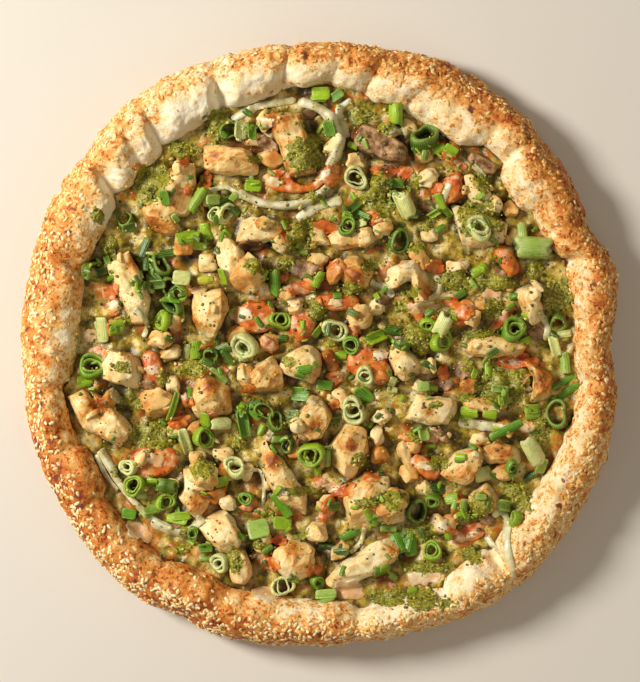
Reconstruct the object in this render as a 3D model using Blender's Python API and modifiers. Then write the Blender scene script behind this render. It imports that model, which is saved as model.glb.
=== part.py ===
"""A thick-rimmed chicken, pesto and spring onion pizza, baked whole, as separate solids.

The crust is one solid with a folded, seeded rim. The bed of melted cheese lies inside it, and each
large topping lies on the bed. Lengths are in metres, angles in degrees counter-clockwise from +X,
and the places of toppings are (x, y) in millimetres from the middle of the pizza.
"""

import math
import random

import bmesh
import bpy
from mathutils import Matrix, Vector, noise
from mathutils.bvhtree import BVHTree
from mathutils.geometry import delaunay_2d_cdt

MM = 0.001
MERGE_DISTANCE = 0.01 * MM
INSIDE_THE_OUTLINE = 1

# Crust
RIM_HEIGHT = 30 * MM
BASE_THICKNESS = 8 * MM
BED_TOP = 15 * MM
CLEARANCE = 0.4 * MM
CREASE_HALF_WIDTH = 3.0 * MM
CREASE_FOOT = 0.4
CREASE_GROWTH = 1.6
CREASE_STEP_BACK = 0.5
CREASE_INSET = 1
LOBE_STEP = 6.4
LOBE_SWELL = 1.2 * MM
LOBE_ROUNDNESS = 0.5
SWELL_SEED = 4

# Solid of revolution that is shaped into the rim: middle radius and half width
BLANK_RADIUS = 0.155
BLANK_HALF_WIDTH = 0.012
AXIS_TOLERANCE = 0.1 * MM

# Outer edge seen from above: (angle, radius in mm)
OUTER_EDGE = (
    (0, 161), (6, 164), (14, 169), (23, 162), (32, 165), (45, 168), (64, 170.5), (78, 167.5),
    (92, 166), (112, 168), (130, 170), (141, 166), (160, 166.5), (168, 164), (185, 164),
    (205, 166), (220, 169), (232, 171), (243, 167.5), (250, 169.5), (262, 166.5), (279, 164.5),
    (292, 167.5), (304, 172), (315, 172.5), (325, 169), (342, 168.5), (353, 164),
)

# Folds of the rim: (angle at the outer edge, angle at the inner edge, depth in mm,
# inner radius in mm of the lobe of dough that follows)
FOLDS = (
    (5, 5, 1.5, 139), (15.5, 19, 4.0, 136), (31, 32, 1.8, 131), (43.5, 44.5, 4.0, 140),
    (50.5, 50.5, 3.0, 132), (64, 70, 3.0, 136), (76, 80, 3.5, 139), (83, 88, 2.5, 140),
    (95, 98.5, 4.0, 136), (110.5, 112.5, 5.0, 135.5), (126, 128.5, 3.5, 134),
    (131, 135, 2.5, 134.5), (140.5, 144, 5.0, 131.5), (160.5, 162.5, 3.5, 131),
    (188, 189, 2.0, 141), (203, 203, 2.0, 137), (214, 215, 1.8, 143), (234, 235, 2.0, 138.5),
    (249, 250, 2.0, 138), (277, 278.5, 2.5, 145), (296, 297, 3.5, 142), (308.5, 310, 4.0, 142),
    (353, 352, 2.5, 139),
)

# Section of the rim from its inner foot over the top to its underside:
# (-1 at the inner edge to 1 at the outer edge, share of the rim's height)
RIM_SECTION = (
    (-1.0, 0.45), (-0.92, 0.68), (-0.70, 0.87), (-0.36, 0.97), (0.02, 1.0), (0.40, 0.95),
    (0.72, 0.80), (0.93, 0.57), (1.0, 0.35), (0.94, 0.13), (0.80, 0.0),
)

# Bed of melted cheese: spacing of its points, and how it wells up between toppings
BED_STEP = 10.5 * MM
BED_MOUND = 6 * MM
BED_MOUND_SLOPE = 0.8
BED_LEVEL_MARGIN = 0.5 * MM
BED_NOISE_SIZE = 13 * MM
BED_SWELL = 0.75
BED_UNEVENNESS = 0.5

# Sesame seeds that stand out on the rim
SEED_COUNT = 72
SEED_SIZE = (3.6 * MM, 2.3 * MM, 1.5 * MM)
SEED_SINK = 0.25
SEED_POINT = 0.55
SEED_WAIST = 0.4
SEED_JITTER = 0.9
SEEDED_SECTION = RIM_SECTION[4:9]
SESAME_SEED = 11

# Lobe of food: how square, how many sides and rings, how lumpy, and how its height is shared
# between the dome and what the dome stands on
LOBE_BOXINESS = {"chicken": 0.62, "mushroom": 0.6, "tomato": 0.8}
LOBE_SIDES = 8
LOBE_RINGS = {"chicken": 6, "mushroom": 5, "tomato": 5}
BENT_LOBE_RINGS = 2
LUMP_DEPTH = 0.16
LUMP_SCALE = 1.3
LUMP_SHIFT = (7.3, 3.1, 1.7)
DOME_SHARE = 0.66
DOME_LIFT = 0.34
SLICE_SHIFT = 40

# Each piece of chicken is one or more lobes:
# (x, y, length, width, height, turn of the length, taper, bend along the length)
CHICKEN = (
    ((49, 41, 30, 11, 11, 14, 0, -120), (57, 31, 20, 12, 11, -80, 0, 0)),
    ((122, -18, 30, 10, 11, -78, 0, -130),),
    ((-60, 18, 27, 20, 14, 85, 0.15, 0),),
    ((-107, -12, 27, 22, 14, 85, 0.1, 0),),
    ((-59, -29, 26, 21, 13, -75, 0.1, 0),),
    ((-30, -18, 20, 20, 13, 20, 0, 0),),
    ((-8, -11, 23, 20, 13, -30, 0, 0),),
    ((21, 38, 21, 17, 13, -40, 0, 0),),
    ((24, -87, 40, 20, 14, 72, -0.3, 0), (39, -88, 20, 18, 11, 10, 0, 0)),
    ((-3, -40, 26, 18, 13, 60, 0, 0),),
    ((15, -58, 28, 21, 12, 72, 0, 0),),
    ((-127, -36, 26, 12, 11, -65, 0, 0), (-117, -32, 22, 8, 10, -68, 0, 0),
     (-110, -49, 28, 18, 12, -50, 0, 0)),
    ((-104, 33, 57, 16, 12, -69, -0.2, 0),),
    ((-77, 86, 32, 19, 13, 80, 0.2, 0), (-86, 66, 26, 17, 11, 118, 0.2, 0)),
    ((-48, 100.5, 36, 16, 12, -5, 0.1, 0),),
    ((-18, 121, 20, 18, 13, 80, 0, 0), (-12, 104, 36, 19, 12, -62, 0.1, 0)),
    ((-31, 63, 34, 14, 12, 5, 0.1, 0),),
    ((-47, 45, 34, 15, 11, -70, 0, 0),),
    ((-14, -117, 24, 21, 13, 80, 0, 0),),
    ((28, -118, 50, 14, 12, 28, 0.1, 0),),
    ((-21, -74, 50, 14, 12, -55, -0.2, 0),),
    ((-1, -102, 13, 11, 12, 0, 0, 0),),
    ((-54, -101, 27, 17, 13, -50, 0.15, 0),),
    ((79, -66, 25, 18, 12, 40, 0.1, 0),),
    ((46, -9, 22, 15, 12, -55, 0, 0),),
    ((93, -1, 44, 11, 11, 2, 0, 0),),
    ((61, -36, 32, 15, 11, -5, 0, 0),),
    ((91, -33, 28, 8, 9, -12, 0, -20),),
    ((99, -59, 24, 12, 9, -5, 0, 0),),
    ((115, 23, 25, 13, 11, -60, 0, 0),),
    ((84, 65, 36, 22, 11, -15, 0, 0),),
    ((87, 83, 22, 11, 10, -50, 0, 0),),
    ((-65, -73, 18, 17, 11, 0, 0, 0), (-67, -87, 20, 12, 10, -30, 0, 0)),
    ((-44, -119, 28, 11, 11, -80, 0, 0),),
    ((16, 58, 34, 10, 9, 8, 0, 0),),
    ((89, -86, 18, 17, 10, 30, 0, 0),),
)

# Tomato slices and mushroom slices, each a single lobe
TOMATO = (
    (-10, 89, 40, 14, 5, 3, 0, 20), (72, 85, 20, 15, 6, 40, 0, 0), (103, 46, 19, 10, 6, -60, 0, 0),
    (-91, -14, 23, 14, 6, 100, 0.3, 0), (-34, 15, 22, 19, 6, 0, 0, 0), (10, 23, 24, 10, 6, 0, 0, 25),
    (-9, 11, 20, 16, 6, 70, 0, 0), (58, -67, 19, 12, 6, -30, 0, 0), (-90, -64, 28, 20, 6, 10, 0.2, 0),
    (28, -11, 27, 20, 6, -20, 0, 0), (79, 17, 17, 14, 6, 30, 0, 0),
)
MUSHROOM = (
    (34, 109, 32, 16, 9, -24, 0.2, 0), (89, 99, 18, 8, 6, -30, 0, 0),
)

# Onion strips: (width, middle height above the bed, points of the curve along the strip),
# the points between each two of those, and the sides of a strip's section
ONION = (
    (4.6, 3.4, ((-45, 83), (-33, 78), (-18, 75.5), (-4, 80), (5, 87))),
    (5.6, 3.6, ((-10, 133), (2, 128), (9, 117), (9.5, 106), (5, 97))),
    (4.2, 3.0, ((-120, -58), (-111, -73), (-100, -87), (-88, -97), (-74, -102), (-64, -97))),
)
ONION_STEPS = 2
ONION_BEVEL = 1

# Spring onion pieces as large as a berry:
# (kind, x, y, outer diameter, length, turn, tilt of a standing ring)
SPRING_ONION = (
    ("ring", 19, -36, 14, 6, 0, 8), ("ring", 106, 8, 14, 7, 0, 10), ("ring", 58, 113, 15, 7, 0, 8),
    ("ring", -4, -60, 14, 7, 0, 6), ("tube", 117, 52.5, 11, 20, -3, 0), ("tube", 117, -58, 9, 14, -62, 0),
)
SPRING_ONION_WALL = 2.0 * MM
SPRING_ONION_SIDES = 10

# Smaller spring onion rings on the bare bed, fused to it: their wall, length, sides, middle above
# the bed, free room round each, turn from one to the next, and (x, y, outer diameter)
BED_RING_WALL = 2.2 * MM
BED_RING_LENGTH = 6 * MM
BED_RING_SIDES = 7
BED_RING_RISE = 1.5 * MM
BED_RING_ROOM = 1 * MM
BED_RING_TURN = 23
BED_RINGS_OF_ONION = (
    (-122, 40, 12), (-88, 48, 12), (-82, 29, 11), (-75, 27, 9), (-85, 13, 12), (-42, 0, 15),
    (-48, 117, 11), (-36, 117, 12), (-52, 73, 12), (-101, -78, 12), (-44, -67, 12), (-40, -83, 9),
    (-39, -41, 12), (-25, -38, 12), (21, 92, 12), (34, 3, 12), (20, 0, 9), (25, -26, 9),
    (68, 10, 12), (66, -2, 11), (130, 12, 11), (106, -69, 8), (91, -73, 9), (64, -86, 9),
    (-55, -119, 10), (-2, -130, 8), (-20, -133, 9), (42, 56, 13), (15, 68, 11), (106, -92, 9),
    (60, -112, 12), (117, -37, 9), (-21, 14, 9), (42, 127, 10), (1, 137, 10),
)

COLOURS = {
    "crust": ((0.80, 0.56, 0.30, 1), 0.75), "cheese": ((0.86, 0.76, 0.52, 1), 0.45),
    "chicken": ((0.88, 0.70, 0.48, 1), 0.5), "tomato": ((0.78, 0.22, 0.06, 1), 0.35),
    "mushroom": ((0.50, 0.34, 0.24, 1), 0.6), "onion": ((0.86, 0.84, 0.68, 1), 0.3),
    "spring_onion": ((0.30, 0.55, 0.10, 1), 0.35),
}


def clear_scene():
    for thing in list(bpy.data.objects):
        bpy.data.objects.remove(thing)


def collection_named(name, hidden=False):
    group = bpy.data.collections.new(name)
    bpy.context.scene.collection.children.link(group)
    group.hide_render = hidden
    return group


def material_named(name):
    colour, roughness = COLOURS[name]
    material = bpy.data.materials.new(name)
    material.use_nodes = True
    shader = material.node_tree.nodes["Principled BSDF"]
    shader.inputs["Base Color"].default_value = colour
    shader.inputs["Roughness"].default_value = roughness
    shader.inputs["Metallic"].default_value = 0
    return material


def tree_of(thing):
    return BVHTree.FromObject(thing, bpy.context.evaluated_depsgraph_get())


def object_of(name, mesh, group, material=None):
    thing = bpy.data.objects.new(name, mesh)
    group.objects.link(thing)
    if material:
        mesh.materials.clear()
        mesh.materials.append(material)
    return thing


def mesh_from(name, bm):
    bmesh.ops.recalc_face_normals(bm, faces=bm.faces)
    mesh = bpy.data.meshes.new(name)
    bm.to_mesh(mesh)
    bm.free()
    return mesh


def with_modifiers_applied(thing):
    """Replaces the object's mesh by what its modifiers make of it."""
    graph = bpy.context.evaluated_depsgraph_get()
    mesh = bpy.data.meshes.new_from_object(thing.evaluated_get(graph))
    thing.modifiers.clear()
    thing.data = mesh
    return thing


def keep_largest_body(thing):
    """Drops the scraps that a cut leaves beside the main body."""
    bm = bmesh.new()
    bm.from_mesh(thing.data)
    left, bodies = set(bm.verts), []
    while left:
        front = [left.pop()]
        body = set(front)
        while front:
            vertex = front.pop()
            near = {edge.other_vert(vertex) for edge in vertex.link_edges} - body
            body |= near
            left -= near
            front.extend(near)
        bodies.append(body)
    main = max(bodies, key=len)
    bmesh.ops.delete(bm, geom=[v for v in bm.verts if v not in main], context="VERTS")
    bm.to_mesh(thing.data)
    bm.free()


def smoothed_around(points, angle):
    """Catmull-Rom value at an angle, round a closed list of (angle, value)."""
    angle %= 360
    count = len(points)
    after = next((i for i, (a, _) in enumerate(points) if a > angle), count)
    knots = []
    for i in range(after - 2, after + 2):
        turns, j = divmod(i, count)
        knots.append((points[j][0] + 360 * turns, points[j][1]))
    (_, p0), (a1, p1), (a2, p2), (_, p3) = knots
    t = (angle - a1) / (a2 - a1)
    return 0.5 * (2 * p1 + (p2 - p0) * t + (2 * p0 - 5 * p1 + 4 * p2 - p3) * t * t
                  + (3 * p1 - p0 - 3 * p2 + p3) * t ** 3)


class Column:
    """One upright section through the rim: its angles, edge radii, height and crease depth."""

    def __init__(self, outer_angle, inner_angle, inner_radius, height, crease):
        self.outer_angle = outer_angle
        self.inner_angle = inner_angle
        self.outer_radius = smoothed_around(OUTER_EDGE, outer_angle) * MM
        self.inner_radius = inner_radius
        self.height = height
        self.crease = crease

    def point(self, across, rise):
        """A point of the rim's skin, with the crease pressed in towards the middle of the dough."""
        share = (across + 1) / 2
        angle = math.radians(self.inner_angle + (self.outer_angle - self.inner_angle) * share)
        middle = (self.outer_radius + self.inner_radius) / 2
        half = (self.outer_radius - self.inner_radius) / 2
        press = self.crease * min(1, rise * CREASE_GROWTH)
        radius = middle + across * (half - (press if across > 0 else 0))
        height = rise * self.height - press * max(0, rise - CREASE_FOOT) / (1 - CREASE_FOOT)
        return Vector((radius * math.cos(angle), radius * math.sin(angle), height))


def rim_columns():
    """Columns at each crease, just beside it, and evenly over each lobe of dough."""
    draw = random.Random(SWELL_SEED)
    columns = []
    count = len(FOLDS)
    for i, (outer, inner, depth, lobe_radius) in enumerate(FOLDS):
        next_outer, next_inner, next_depth, next_radius = FOLDS[(i + 1) % count]
        last_radius = FOLDS[i - 1][3]
        if i == count - 1:
            next_outer, next_inner = next_outer + 360, next_inner + 360
        start = max(lobe_radius, last_radius) + CREASE_INSET + CREASE_STEP_BACK * depth
        end = max(lobe_radius, next_radius) + CREASE_INSET + CREASE_STEP_BACK * next_depth
        swell = draw.uniform(-1, 1) * LOBE_SWELL
        beside = math.degrees(CREASE_HALF_WIDTH / (lobe_radius * MM)) / (next_outer - outer)
        steps = max(2, round((next_outer - outer) / LOBE_STEP))
        shares = [0.0, beside] + [j / steps for j in range(1, steps)] + [1 - beside]
        for share in sorted(s for s in shares if s in (0.0, beside) or beside < s <= 1 - beside):
            lift = math.sin(math.pi * share) ** LOBE_ROUNDNESS if 0 < share < 1 else 0
            inner_radius = (start + (end - start) * share) * (1 - lift) + lobe_radius * lift
            columns.append(Column(
                outer + (next_outer - outer) * share, inner + (next_inner - inner) * share,
                inner_radius * MM, RIM_HEIGHT + swell * lift, depth * MM if share == 0 else 0))
    return columns


def turned_blank(name, profile, steps, group):
    """A closed solid of revolution from (radius, height) points that run from axis to axis."""
    bm = bmesh.new()
    verts = [bm.verts.new((radius, 0, height)) for radius, height in profile]
    for a, b in zip(verts, verts[1:]):
        bm.edges.new((a, b))
    mesh = bpy.data.meshes.new(name)
    bm.to_mesh(mesh)
    bm.free()
    blank = object_of(name, mesh, group)
    screw = blank.modifiers.new("turn", "SCREW")
    screw.steps = screw.render_steps = steps
    screw.use_merge_vertices = True
    screw.merge_threshold = MERGE_DISTANCE
    return with_modifiers_applied(blank)


def reshape(blank, rows, columns, place):
    """Moves each vertex of a turned blank to place(row, column), found from its radius and angle."""
    for vertex in blank.data.vertices:
        x, y, z = vertex.co
        radius = math.hypot(x, y)
        if radius < AXIS_TOLERANCE:
            continue
        row = min(range(len(rows)), key=lambda i: math.hypot(rows[i][0] - radius, rows[i][1] - z))
        turn = (math.atan2(y, x) / (2 * math.pi)) % 1
        vertex.co = place(row, columns[round(turn * len(columns)) % len(columns)])
    bm = bmesh.new()
    bm.from_mesh(blank.data)
    bmesh.ops.recalc_face_normals(bm, faces=bm.faces)
    bm.to_mesh(blank.data)
    bm.free()
    return blank


def crust_solid(columns, group, material):
    """The dough: a flat base under the bed and the folded rim round it."""
    nominal = [(BLANK_RADIUS + BLANK_HALF_WIDTH * across, rise * RIM_HEIGHT)
               for across, rise in RIM_SECTION]
    foot = (nominal[0][0], BASE_THICKNESS)
    rows = [(0, BASE_THICKNESS), foot, *nominal, (0, 0)]

    def place(row, column):
        if row == 1:
            point = column.point(-1, 0)
            return Vector((point.x, point.y, BASE_THICKNESS))
        return column.point(*RIM_SECTION[row - 2])

    blank = turned_blank("crust", rows, len(columns), group)
    crust = reshape(blank, rows, columns, place)
    crust.data.materials.append(material)
    return crust


def bed_height(x, y, trees):
    """Level near a topping, and welling up unevenly where there is room between toppings."""
    place = Vector((x, y, BED_TOP + BED_MOUND / 2))
    room = min(tree.find_nearest(place)[3] for tree in trees) - BED_LEVEL_MARGIN
    swell = BED_SWELL + BED_UNEVENNESS * noise.noise(Vector((x, y, 0)) / BED_NOISE_SIZE)
    return BED_TOP + swell * min(BED_MOUND, max(0, room) * BED_MOUND_SLOPE)


def level_under(bed, cutters):
    """Lets the bed's top down again wherever it would well up into a topping."""
    crossing = True
    while crossing:
        crossing = False
        corners = [vertex.co.copy() for vertex in bed.data.vertices]
        tree = BVHTree.FromPolygons(corners, [face.vertices for face in bed.data.polygons])
        for cutter in cutters:
            for face, _ in tree.overlap(tree_of(cutter)):
                for i in bed.data.polygons[face].vertices:
                    if bed.data.vertices[i].co.z > BED_TOP + MERGE_DISTANCE:
                        bed.data.vertices[i].co.z = BED_TOP
                        crossing = True


def bed_solid(columns, cutters, group, material):
    """Melted cheese and sauce inside the rim: a sheet of triangles with walls down to the dough."""
    edge = [column.point(-1, 0).to_2d() * (1 - CLEARANCE / column.inner_radius) for column in columns]
    reach = min(point.length for point in edge)
    rows = range(-int(reach / BED_STEP) - 1, int(reach / BED_STEP) + 2)
    inner = [Vector(((i + j % 2 / 2) * BED_STEP, j * BED_STEP * math.sin(math.pi / 3)))
             for i in rows for j in rows]
    inner = [point for point in inner if point.length < reach - BED_STEP / 2]
    outline = [(i, (i + 1) % len(edge)) for i in range(len(edge))]
    flat, _, faces, *_ = delaunay_2d_cdt([*edge, *inner], outline, [], INSIDE_THE_OUTLINE,
                                         MERGE_DISTANCE)
    trees = [tree_of(cutter) for cutter in cutters]
    bm = bmesh.new()
    verts = [bm.verts.new((*point, BED_TOP if i < len(edge) else bed_height(*point, trees)))
             for i, point in enumerate(flat)]
    for face in faces:
        bm.faces.new([verts[i] for i in face])
    border = [border_edge for border_edge in bm.edges if border_edge.is_boundary]
    walls = bmesh.ops.extrude_edge_only(bm, edges=border)["geom"]
    for vertex in walls:
        if isinstance(vertex, bmesh.types.BMVert):
            vertex.co.z = BASE_THICKNESS + CLEARANCE
    bmesh.ops.contextual_create(bm, geom=[e for e in bm.edges if e.is_boundary])
    bed = object_of("cheese_bed", mesh_from("cheese_bed", bm), group, material)
    level_under(bed, cutters)
    return bed


def seed_mesh():
    """A sesame seed: a flattened drop, pointed at one end."""
    bm = bmesh.new()
    bmesh.ops.create_icosphere(bm, subdivisions=1, radius=0.5)
    length, width, thickness = SEED_SIZE
    for vertex in bm.verts:
        pinch = 1 - SEED_POINT * (vertex.co.x + 0.5)
        vertex.co = Vector((vertex.co.x * length, vertex.co.y * width * (SEED_WAIST + pinch),
                            vertex.co.z * thickness))
    return mesh_from("seed", bm)


def add_seeds(crust, columns):
    """Sets seeds over the outer half of the rim and fuses them to it."""
    draw = random.Random(SESAME_SEED)
    tree = tree_of(crust)
    loose = collection_named("loose_seeds")
    for i in range(SEED_COUNT):
        nearest = round(i * len(columns) / SEED_COUNT + draw.uniform(0, SEED_JITTER))
        column = columns[nearest % len(columns)]
        across, rise = draw.choice(SEEDED_SECTION)
        skin, normal, _, _ = tree.find_nearest(column.point(across, rise))
        lean = Matrix.Rotation(math.radians(draw.uniform(0, 360)), 4, "Z")
        place = normal.to_track_quat("Z", "Y").to_matrix().to_4x4()
        seed = object_of(f"seed_{i}", seed_mesh(), loose)
        lift = SEED_SIZE[2] * (0.5 - SEED_SINK)
        seed.matrix_world = Matrix.Translation(skin + normal * lift) @ place @ lean
    join = crust.modifiers.new("seeds", "BOOLEAN")
    join.operation = "UNION"
    join.operand_type = "COLLECTION"
    join.collection = loose
    join.solver = "MANIFOLD"
    bpy.context.view_layer.update()
    with_modifiers_applied(crust)
    drop_collection(loose)


def drop_collection(group):
    for thing in list(group.objects):
        bpy.data.objects.remove(thing)
    bpy.data.collections.remove(group)


def bent(point, length, bend):
    """Curls a point that lies along X into an arc of the given bend."""
    if not bend:
        return point
    turn = math.radians(bend)
    radius = length / turn
    angle = point.x / radius
    reach = radius - point.y
    return Vector((reach * math.sin(angle), radius - reach * math.cos(angle), point.z))


def lobe_mesh(name, kind, lobe, seed):
    """A torn lump of food: a rounded, slightly uneven box, cut flat where it lies on the bed."""
    x, y, length, width, height, turn, taper, bend = lobe
    length, width, height = length * MM, width * MM, height * MM
    rings = LOBE_RINGS[kind] + (BENT_LOBE_RINGS if bend else 0)
    bm = bmesh.new()
    bmesh.ops.create_uvsphere(bm, u_segments=LOBE_SIDES, v_segments=rings, radius=1)
    offset = Vector([seed * shift for shift in LUMP_SHIFT])
    for vertex in bm.verts:
        unit = vertex.co.normalized()
        squared = [math.copysign(abs(c) ** LOBE_BOXINESS[kind], c) for c in (unit.z, unit.x, unit.y)]
        lump = 1 + LUMP_DEPTH * noise.noise(unit * LUMP_SCALE + offset)
        narrow = 1 - taper * squared[0]
        point = Vector((squared[0] * length / 2, squared[1] * width / 2 * narrow * lump,
                        squared[2] * height * DOME_SHARE * lump + height * DOME_LIFT))
        vertex.co = bent(point, length, bend)
    flat = bmesh.ops.bisect_plane(bm, geom=[*bm.verts, *bm.edges, *bm.faces], plane_co=(0, 0, 0),
                                  plane_no=(0, 0, -1), clear_outer=True, dist=MERGE_DISTANCE)
    rim = [edge for edge in flat["geom_cut"] if isinstance(edge, bmesh.types.BMEdge)]
    bmesh.ops.contextual_create(bm, geom=rim)
    seat = Vector((x * MM, y * MM, BED_TOP + CLEARANCE))
    bmesh.ops.transform(bm, verts=bm.verts,
                        matrix=Matrix.Translation(seat) @ Matrix.Rotation(math.radians(turn), 4, "Z"))
    return mesh_from(name, bm)


def unite(thing, other):
    """Joins the other object into this one and removes it."""
    join = thing.modifiers.new("join", "BOOLEAN")
    join.operation = "UNION"
    join.object = other
    bpy.context.view_layer.update()
    with_modifiers_applied(thing)
    bpy.data.objects.remove(other)


def smooth_curve(points, steps):
    """Points read from a Catmull-Rom curve through the given ones."""
    ends = [points[0] * 2 - points[1], *points, points[-1] * 2 - points[-2]]
    found = []
    for p0, p1, p2, p3 in zip(ends, ends[1:], ends[2:], ends[3:]):
        for i in range(steps):
            t = i / steps
            found.append(0.5 * (2 * p1 + (p2 - p0) * t + (2 * p0 - 5 * p1 + 4 * p2 - p3) * t * t
                                + (3 * p1 - p0 - 3 * p2 + p3) * t ** 3))
    return [*found, points[-1]]


def onion_strip(name, strip, group, material):
    """A sliver of onion: an oval strip that lies along a curve on the bed."""
    width, rise, places = strip
    middle = BED_TOP + rise * MM
    route = smooth_curve([Vector((x * MM, y * MM, middle)) for x, y in places], ONION_STEPS)
    curve = bpy.data.curves.new(name, "CURVE")
    curve.dimensions = "3D"
    curve.bevel_depth = width * MM / 2
    curve.bevel_resolution = ONION_BEVEL
    curve.use_fill_caps = True
    spline = curve.splines.new("POLY")
    spline.points.add(len(route) - 1)
    for point, place in zip(spline.points, route):
        point.co = (*place, 1)
    line = object_of(f"{name}_line", curve, group)
    mesh = bpy.data.meshes.new_from_object(line.evaluated_get(bpy.context.evaluated_depsgraph_get()))
    bpy.data.objects.remove(line)
    bm = bmesh.new()
    bm.from_mesh(mesh)
    bmesh.ops.remove_doubles(bm, verts=bm.verts, dist=MERGE_DISTANCE)
    return object_of(name, mesh_from(name, bm), group, material)


def ring_mesh(name, diameter, length, wall, sides):
    """A slice of a hollow green stem, standing on end with its middle at the origin."""
    outer = diameter * MM / 2
    bm = bmesh.new()
    corners = [(outer, length / 2), (outer, -length / 2), (outer - wall, -length / 2),
               (outer - wall, length / 2)]
    loop = [bm.verts.new((radius, 0, height)) for radius, height in corners]
    edges = [bm.edges.new((a, b)) for a, b in zip(loop, loop[1:] + loop[:1])]
    bmesh.ops.spin(bm, geom=[*loop, *edges], cent=(0, 0, 0), axis=(0, 0, 1),
                   angle=2 * math.pi, steps=sides, use_merge=True)
    bmesh.ops.remove_doubles(bm, verts=bm.verts, dist=MERGE_DISTANCE)
    return mesh_from(name, bm)


def spring_onion(name, row, group, material):
    """A cut piece of spring onion, standing as a ring or lying as a tube."""
    kind, x, y, diameter, length, turn, tilt = row
    mesh = ring_mesh(name, diameter, length * MM, SPRING_ONION_WALL, SPRING_ONION_SIDES)
    piece = object_of(name, mesh, group, material)
    if kind == "ring":
        lean = Matrix.Rotation(math.radians(tilt), 4, "X")
        half_height = length * MM / 2 + diameter * MM / 2 * math.sin(math.radians(tilt))
    else:
        lean = Matrix.Rotation(math.pi / 2, 4, "Y")
        half_height = diameter * MM / 2
    seat = Vector((x * MM, y * MM, BED_TOP + CLEARANCE + half_height))
    spin = Matrix.Rotation(math.radians(turn), 4, "Z")
    piece.data.transform(Matrix.Translation(seat) @ spin @ lean)
    return piece


def fuse_rings_to_bed(bed, neighbours):
    """Sets the smaller rings into the bed wherever no large topping or rim is in the way."""
    trees = [tree_of(neighbour) for neighbour in neighbours]
    loose = collection_named("loose_rings")
    for i, (x, y, diameter) in enumerate(BED_RINGS_OF_ONION):
        middle = Vector((x * MM, y * MM, BED_TOP + BED_RING_RISE))
        reach = diameter * MM / 2 + BED_RING_ROOM
        if any(tree.find_nearest(middle, reach)[0] is not None for tree in trees):
            continue
        mesh = ring_mesh("ring", diameter, BED_RING_LENGTH, BED_RING_WALL, BED_RING_SIDES)
        turn = Matrix.Rotation(math.radians(i * BED_RING_TURN), 4, "Z")
        mesh.transform(Matrix.Translation(middle) @ turn)
        object_of(f"ring_{i}", mesh, loose)
    join = bed.modifiers.new("rings", "BOOLEAN")
    join.operation = "UNION"
    join.operand_type = "COLLECTION"
    join.collection = loose
    join.solver = "MANIFOLD"
    bpy.context.view_layer.update()
    with_modifiers_applied(bed)
    drop_collection(loose)


def grown(thing, group):
    """A cutter a clearance larger than the piece all round."""
    bm = bmesh.new()
    bm.from_mesh(thing.data)
    bm.normal_update()
    moved = [vertex.co + vertex.normal * vertex.calc_shell_factor() * CLEARANCE for vertex in bm.verts]
    for vertex, place in zip(bm.verts, moved):
        vertex.co = place
    return object_of(f"cutter_{thing.name}", mesh_from("cutter", bm), group)


def extent(thing):
    places = [vertex.co for vertex in thing.data.vertices]
    return [(min(p[i] for p in places), max(p[i] for p in places)) for i in range(3)]


def boxes_meet(a, b):
    return all(a[i][0] < b[i][1] + CLEARANCE and b[i][0] < a[i][1] + CLEARANCE for i in range(3))


def carve(piece, cutters, boxes):
    """Cuts away what lies inside the pieces above or beside this one."""
    own = extent(piece)
    for cutter, box in zip(cutters, boxes):
        if not boxes_meet(own, box):
            continue
        cut = piece.modifiers.new("clear", "BOOLEAN")
        cut.operation = "DIFFERENCE"
        cut.object = cutter
    if piece.modifiers:
        bpy.context.view_layer.update()
        with_modifiers_applied(piece)
        keep_largest_body(piece)


def lay_toppings(crust, group, cutters_group, materials):
    """Makes every large topping. One that comes later in the order gives way to those before it."""
    cutters, boxes, pieces = [grown(crust, cutters_group)], [extent(crust)], []

    def settle(piece):
        carve(piece, cutters, boxes)
        cutters.append(grown(piece, cutters_group))
        boxes.append(extent(cutters[-1]))
        pieces.append(piece)

    for i, row in enumerate(SPRING_ONION, 1):
        settle(spring_onion(f"spring_onion_{i:02d}", row, group, materials["spring_onion"]))
    for i, lobes in enumerate(CHICKEN, 1):
        name = f"chicken_{i:02d}"
        first, *others = [lobe_mesh(name, "chicken", lobe, i + j / 3) for j, lobe in enumerate(lobes)]
        piece = object_of(name, first, group, materials["chicken"])
        for other in others:
            unite(piece, object_of("lobe", other, group))
        settle(piece)
    for i, strip in enumerate(ONION, 1):
        settle(onion_strip(f"onion_strip_{i:02d}", strip, group, materials["onion"]))
    for kind, rows in (("mushroom", MUSHROOM), ("tomato", TOMATO)):
        for i, lobe in enumerate(rows, 1):
            name = f"{kind}_{i:02d}"
            settle(object_of(name, lobe_mesh(name, kind, lobe, SLICE_SHIFT + i), group, materials[kind]))
    return pieces


def centre_on_origin(group):
    """Puts the middle of the whole pizza's box over the origin."""
    boxes = [extent(thing) for thing in group.objects]
    middle = [(min(b[i][0] for b in boxes) + max(b[i][1] for b in boxes)) / 2 for i in range(2)]
    for thing in group.objects:
        thing.data.transform(Matrix.Translation((-middle[0], -middle[1], 0)))


def main():
    clear_scene()
    pizza = collection_named("pizza")
    cutters = collection_named("cutters", hidden=True)
    materials = {name: material_named(name) for name in COLOURS}
    columns = rim_columns()
    crust = crust_solid(columns, pizza, materials["crust"])
    pieces = lay_toppings(crust, pizza, cutters, materials)
    bed = bed_solid(columns, list(cutters.objects)[1:], pizza, materials["cheese"])
    fuse_rings_to_bed(bed, [crust, *pieces])
    add_seeds(crust, columns)
    drop_collection(cutters)
    centre_on_origin(pizza)


main()
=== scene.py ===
# A baked chicken, pesto and spring onion pizza with a thick, seeded rim.
# Places on the pizza are in millimetres from its middle, as it is seen from above.
import math
import random

import bmesh
import bpy
import numpy as np
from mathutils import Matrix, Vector, noise


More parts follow.
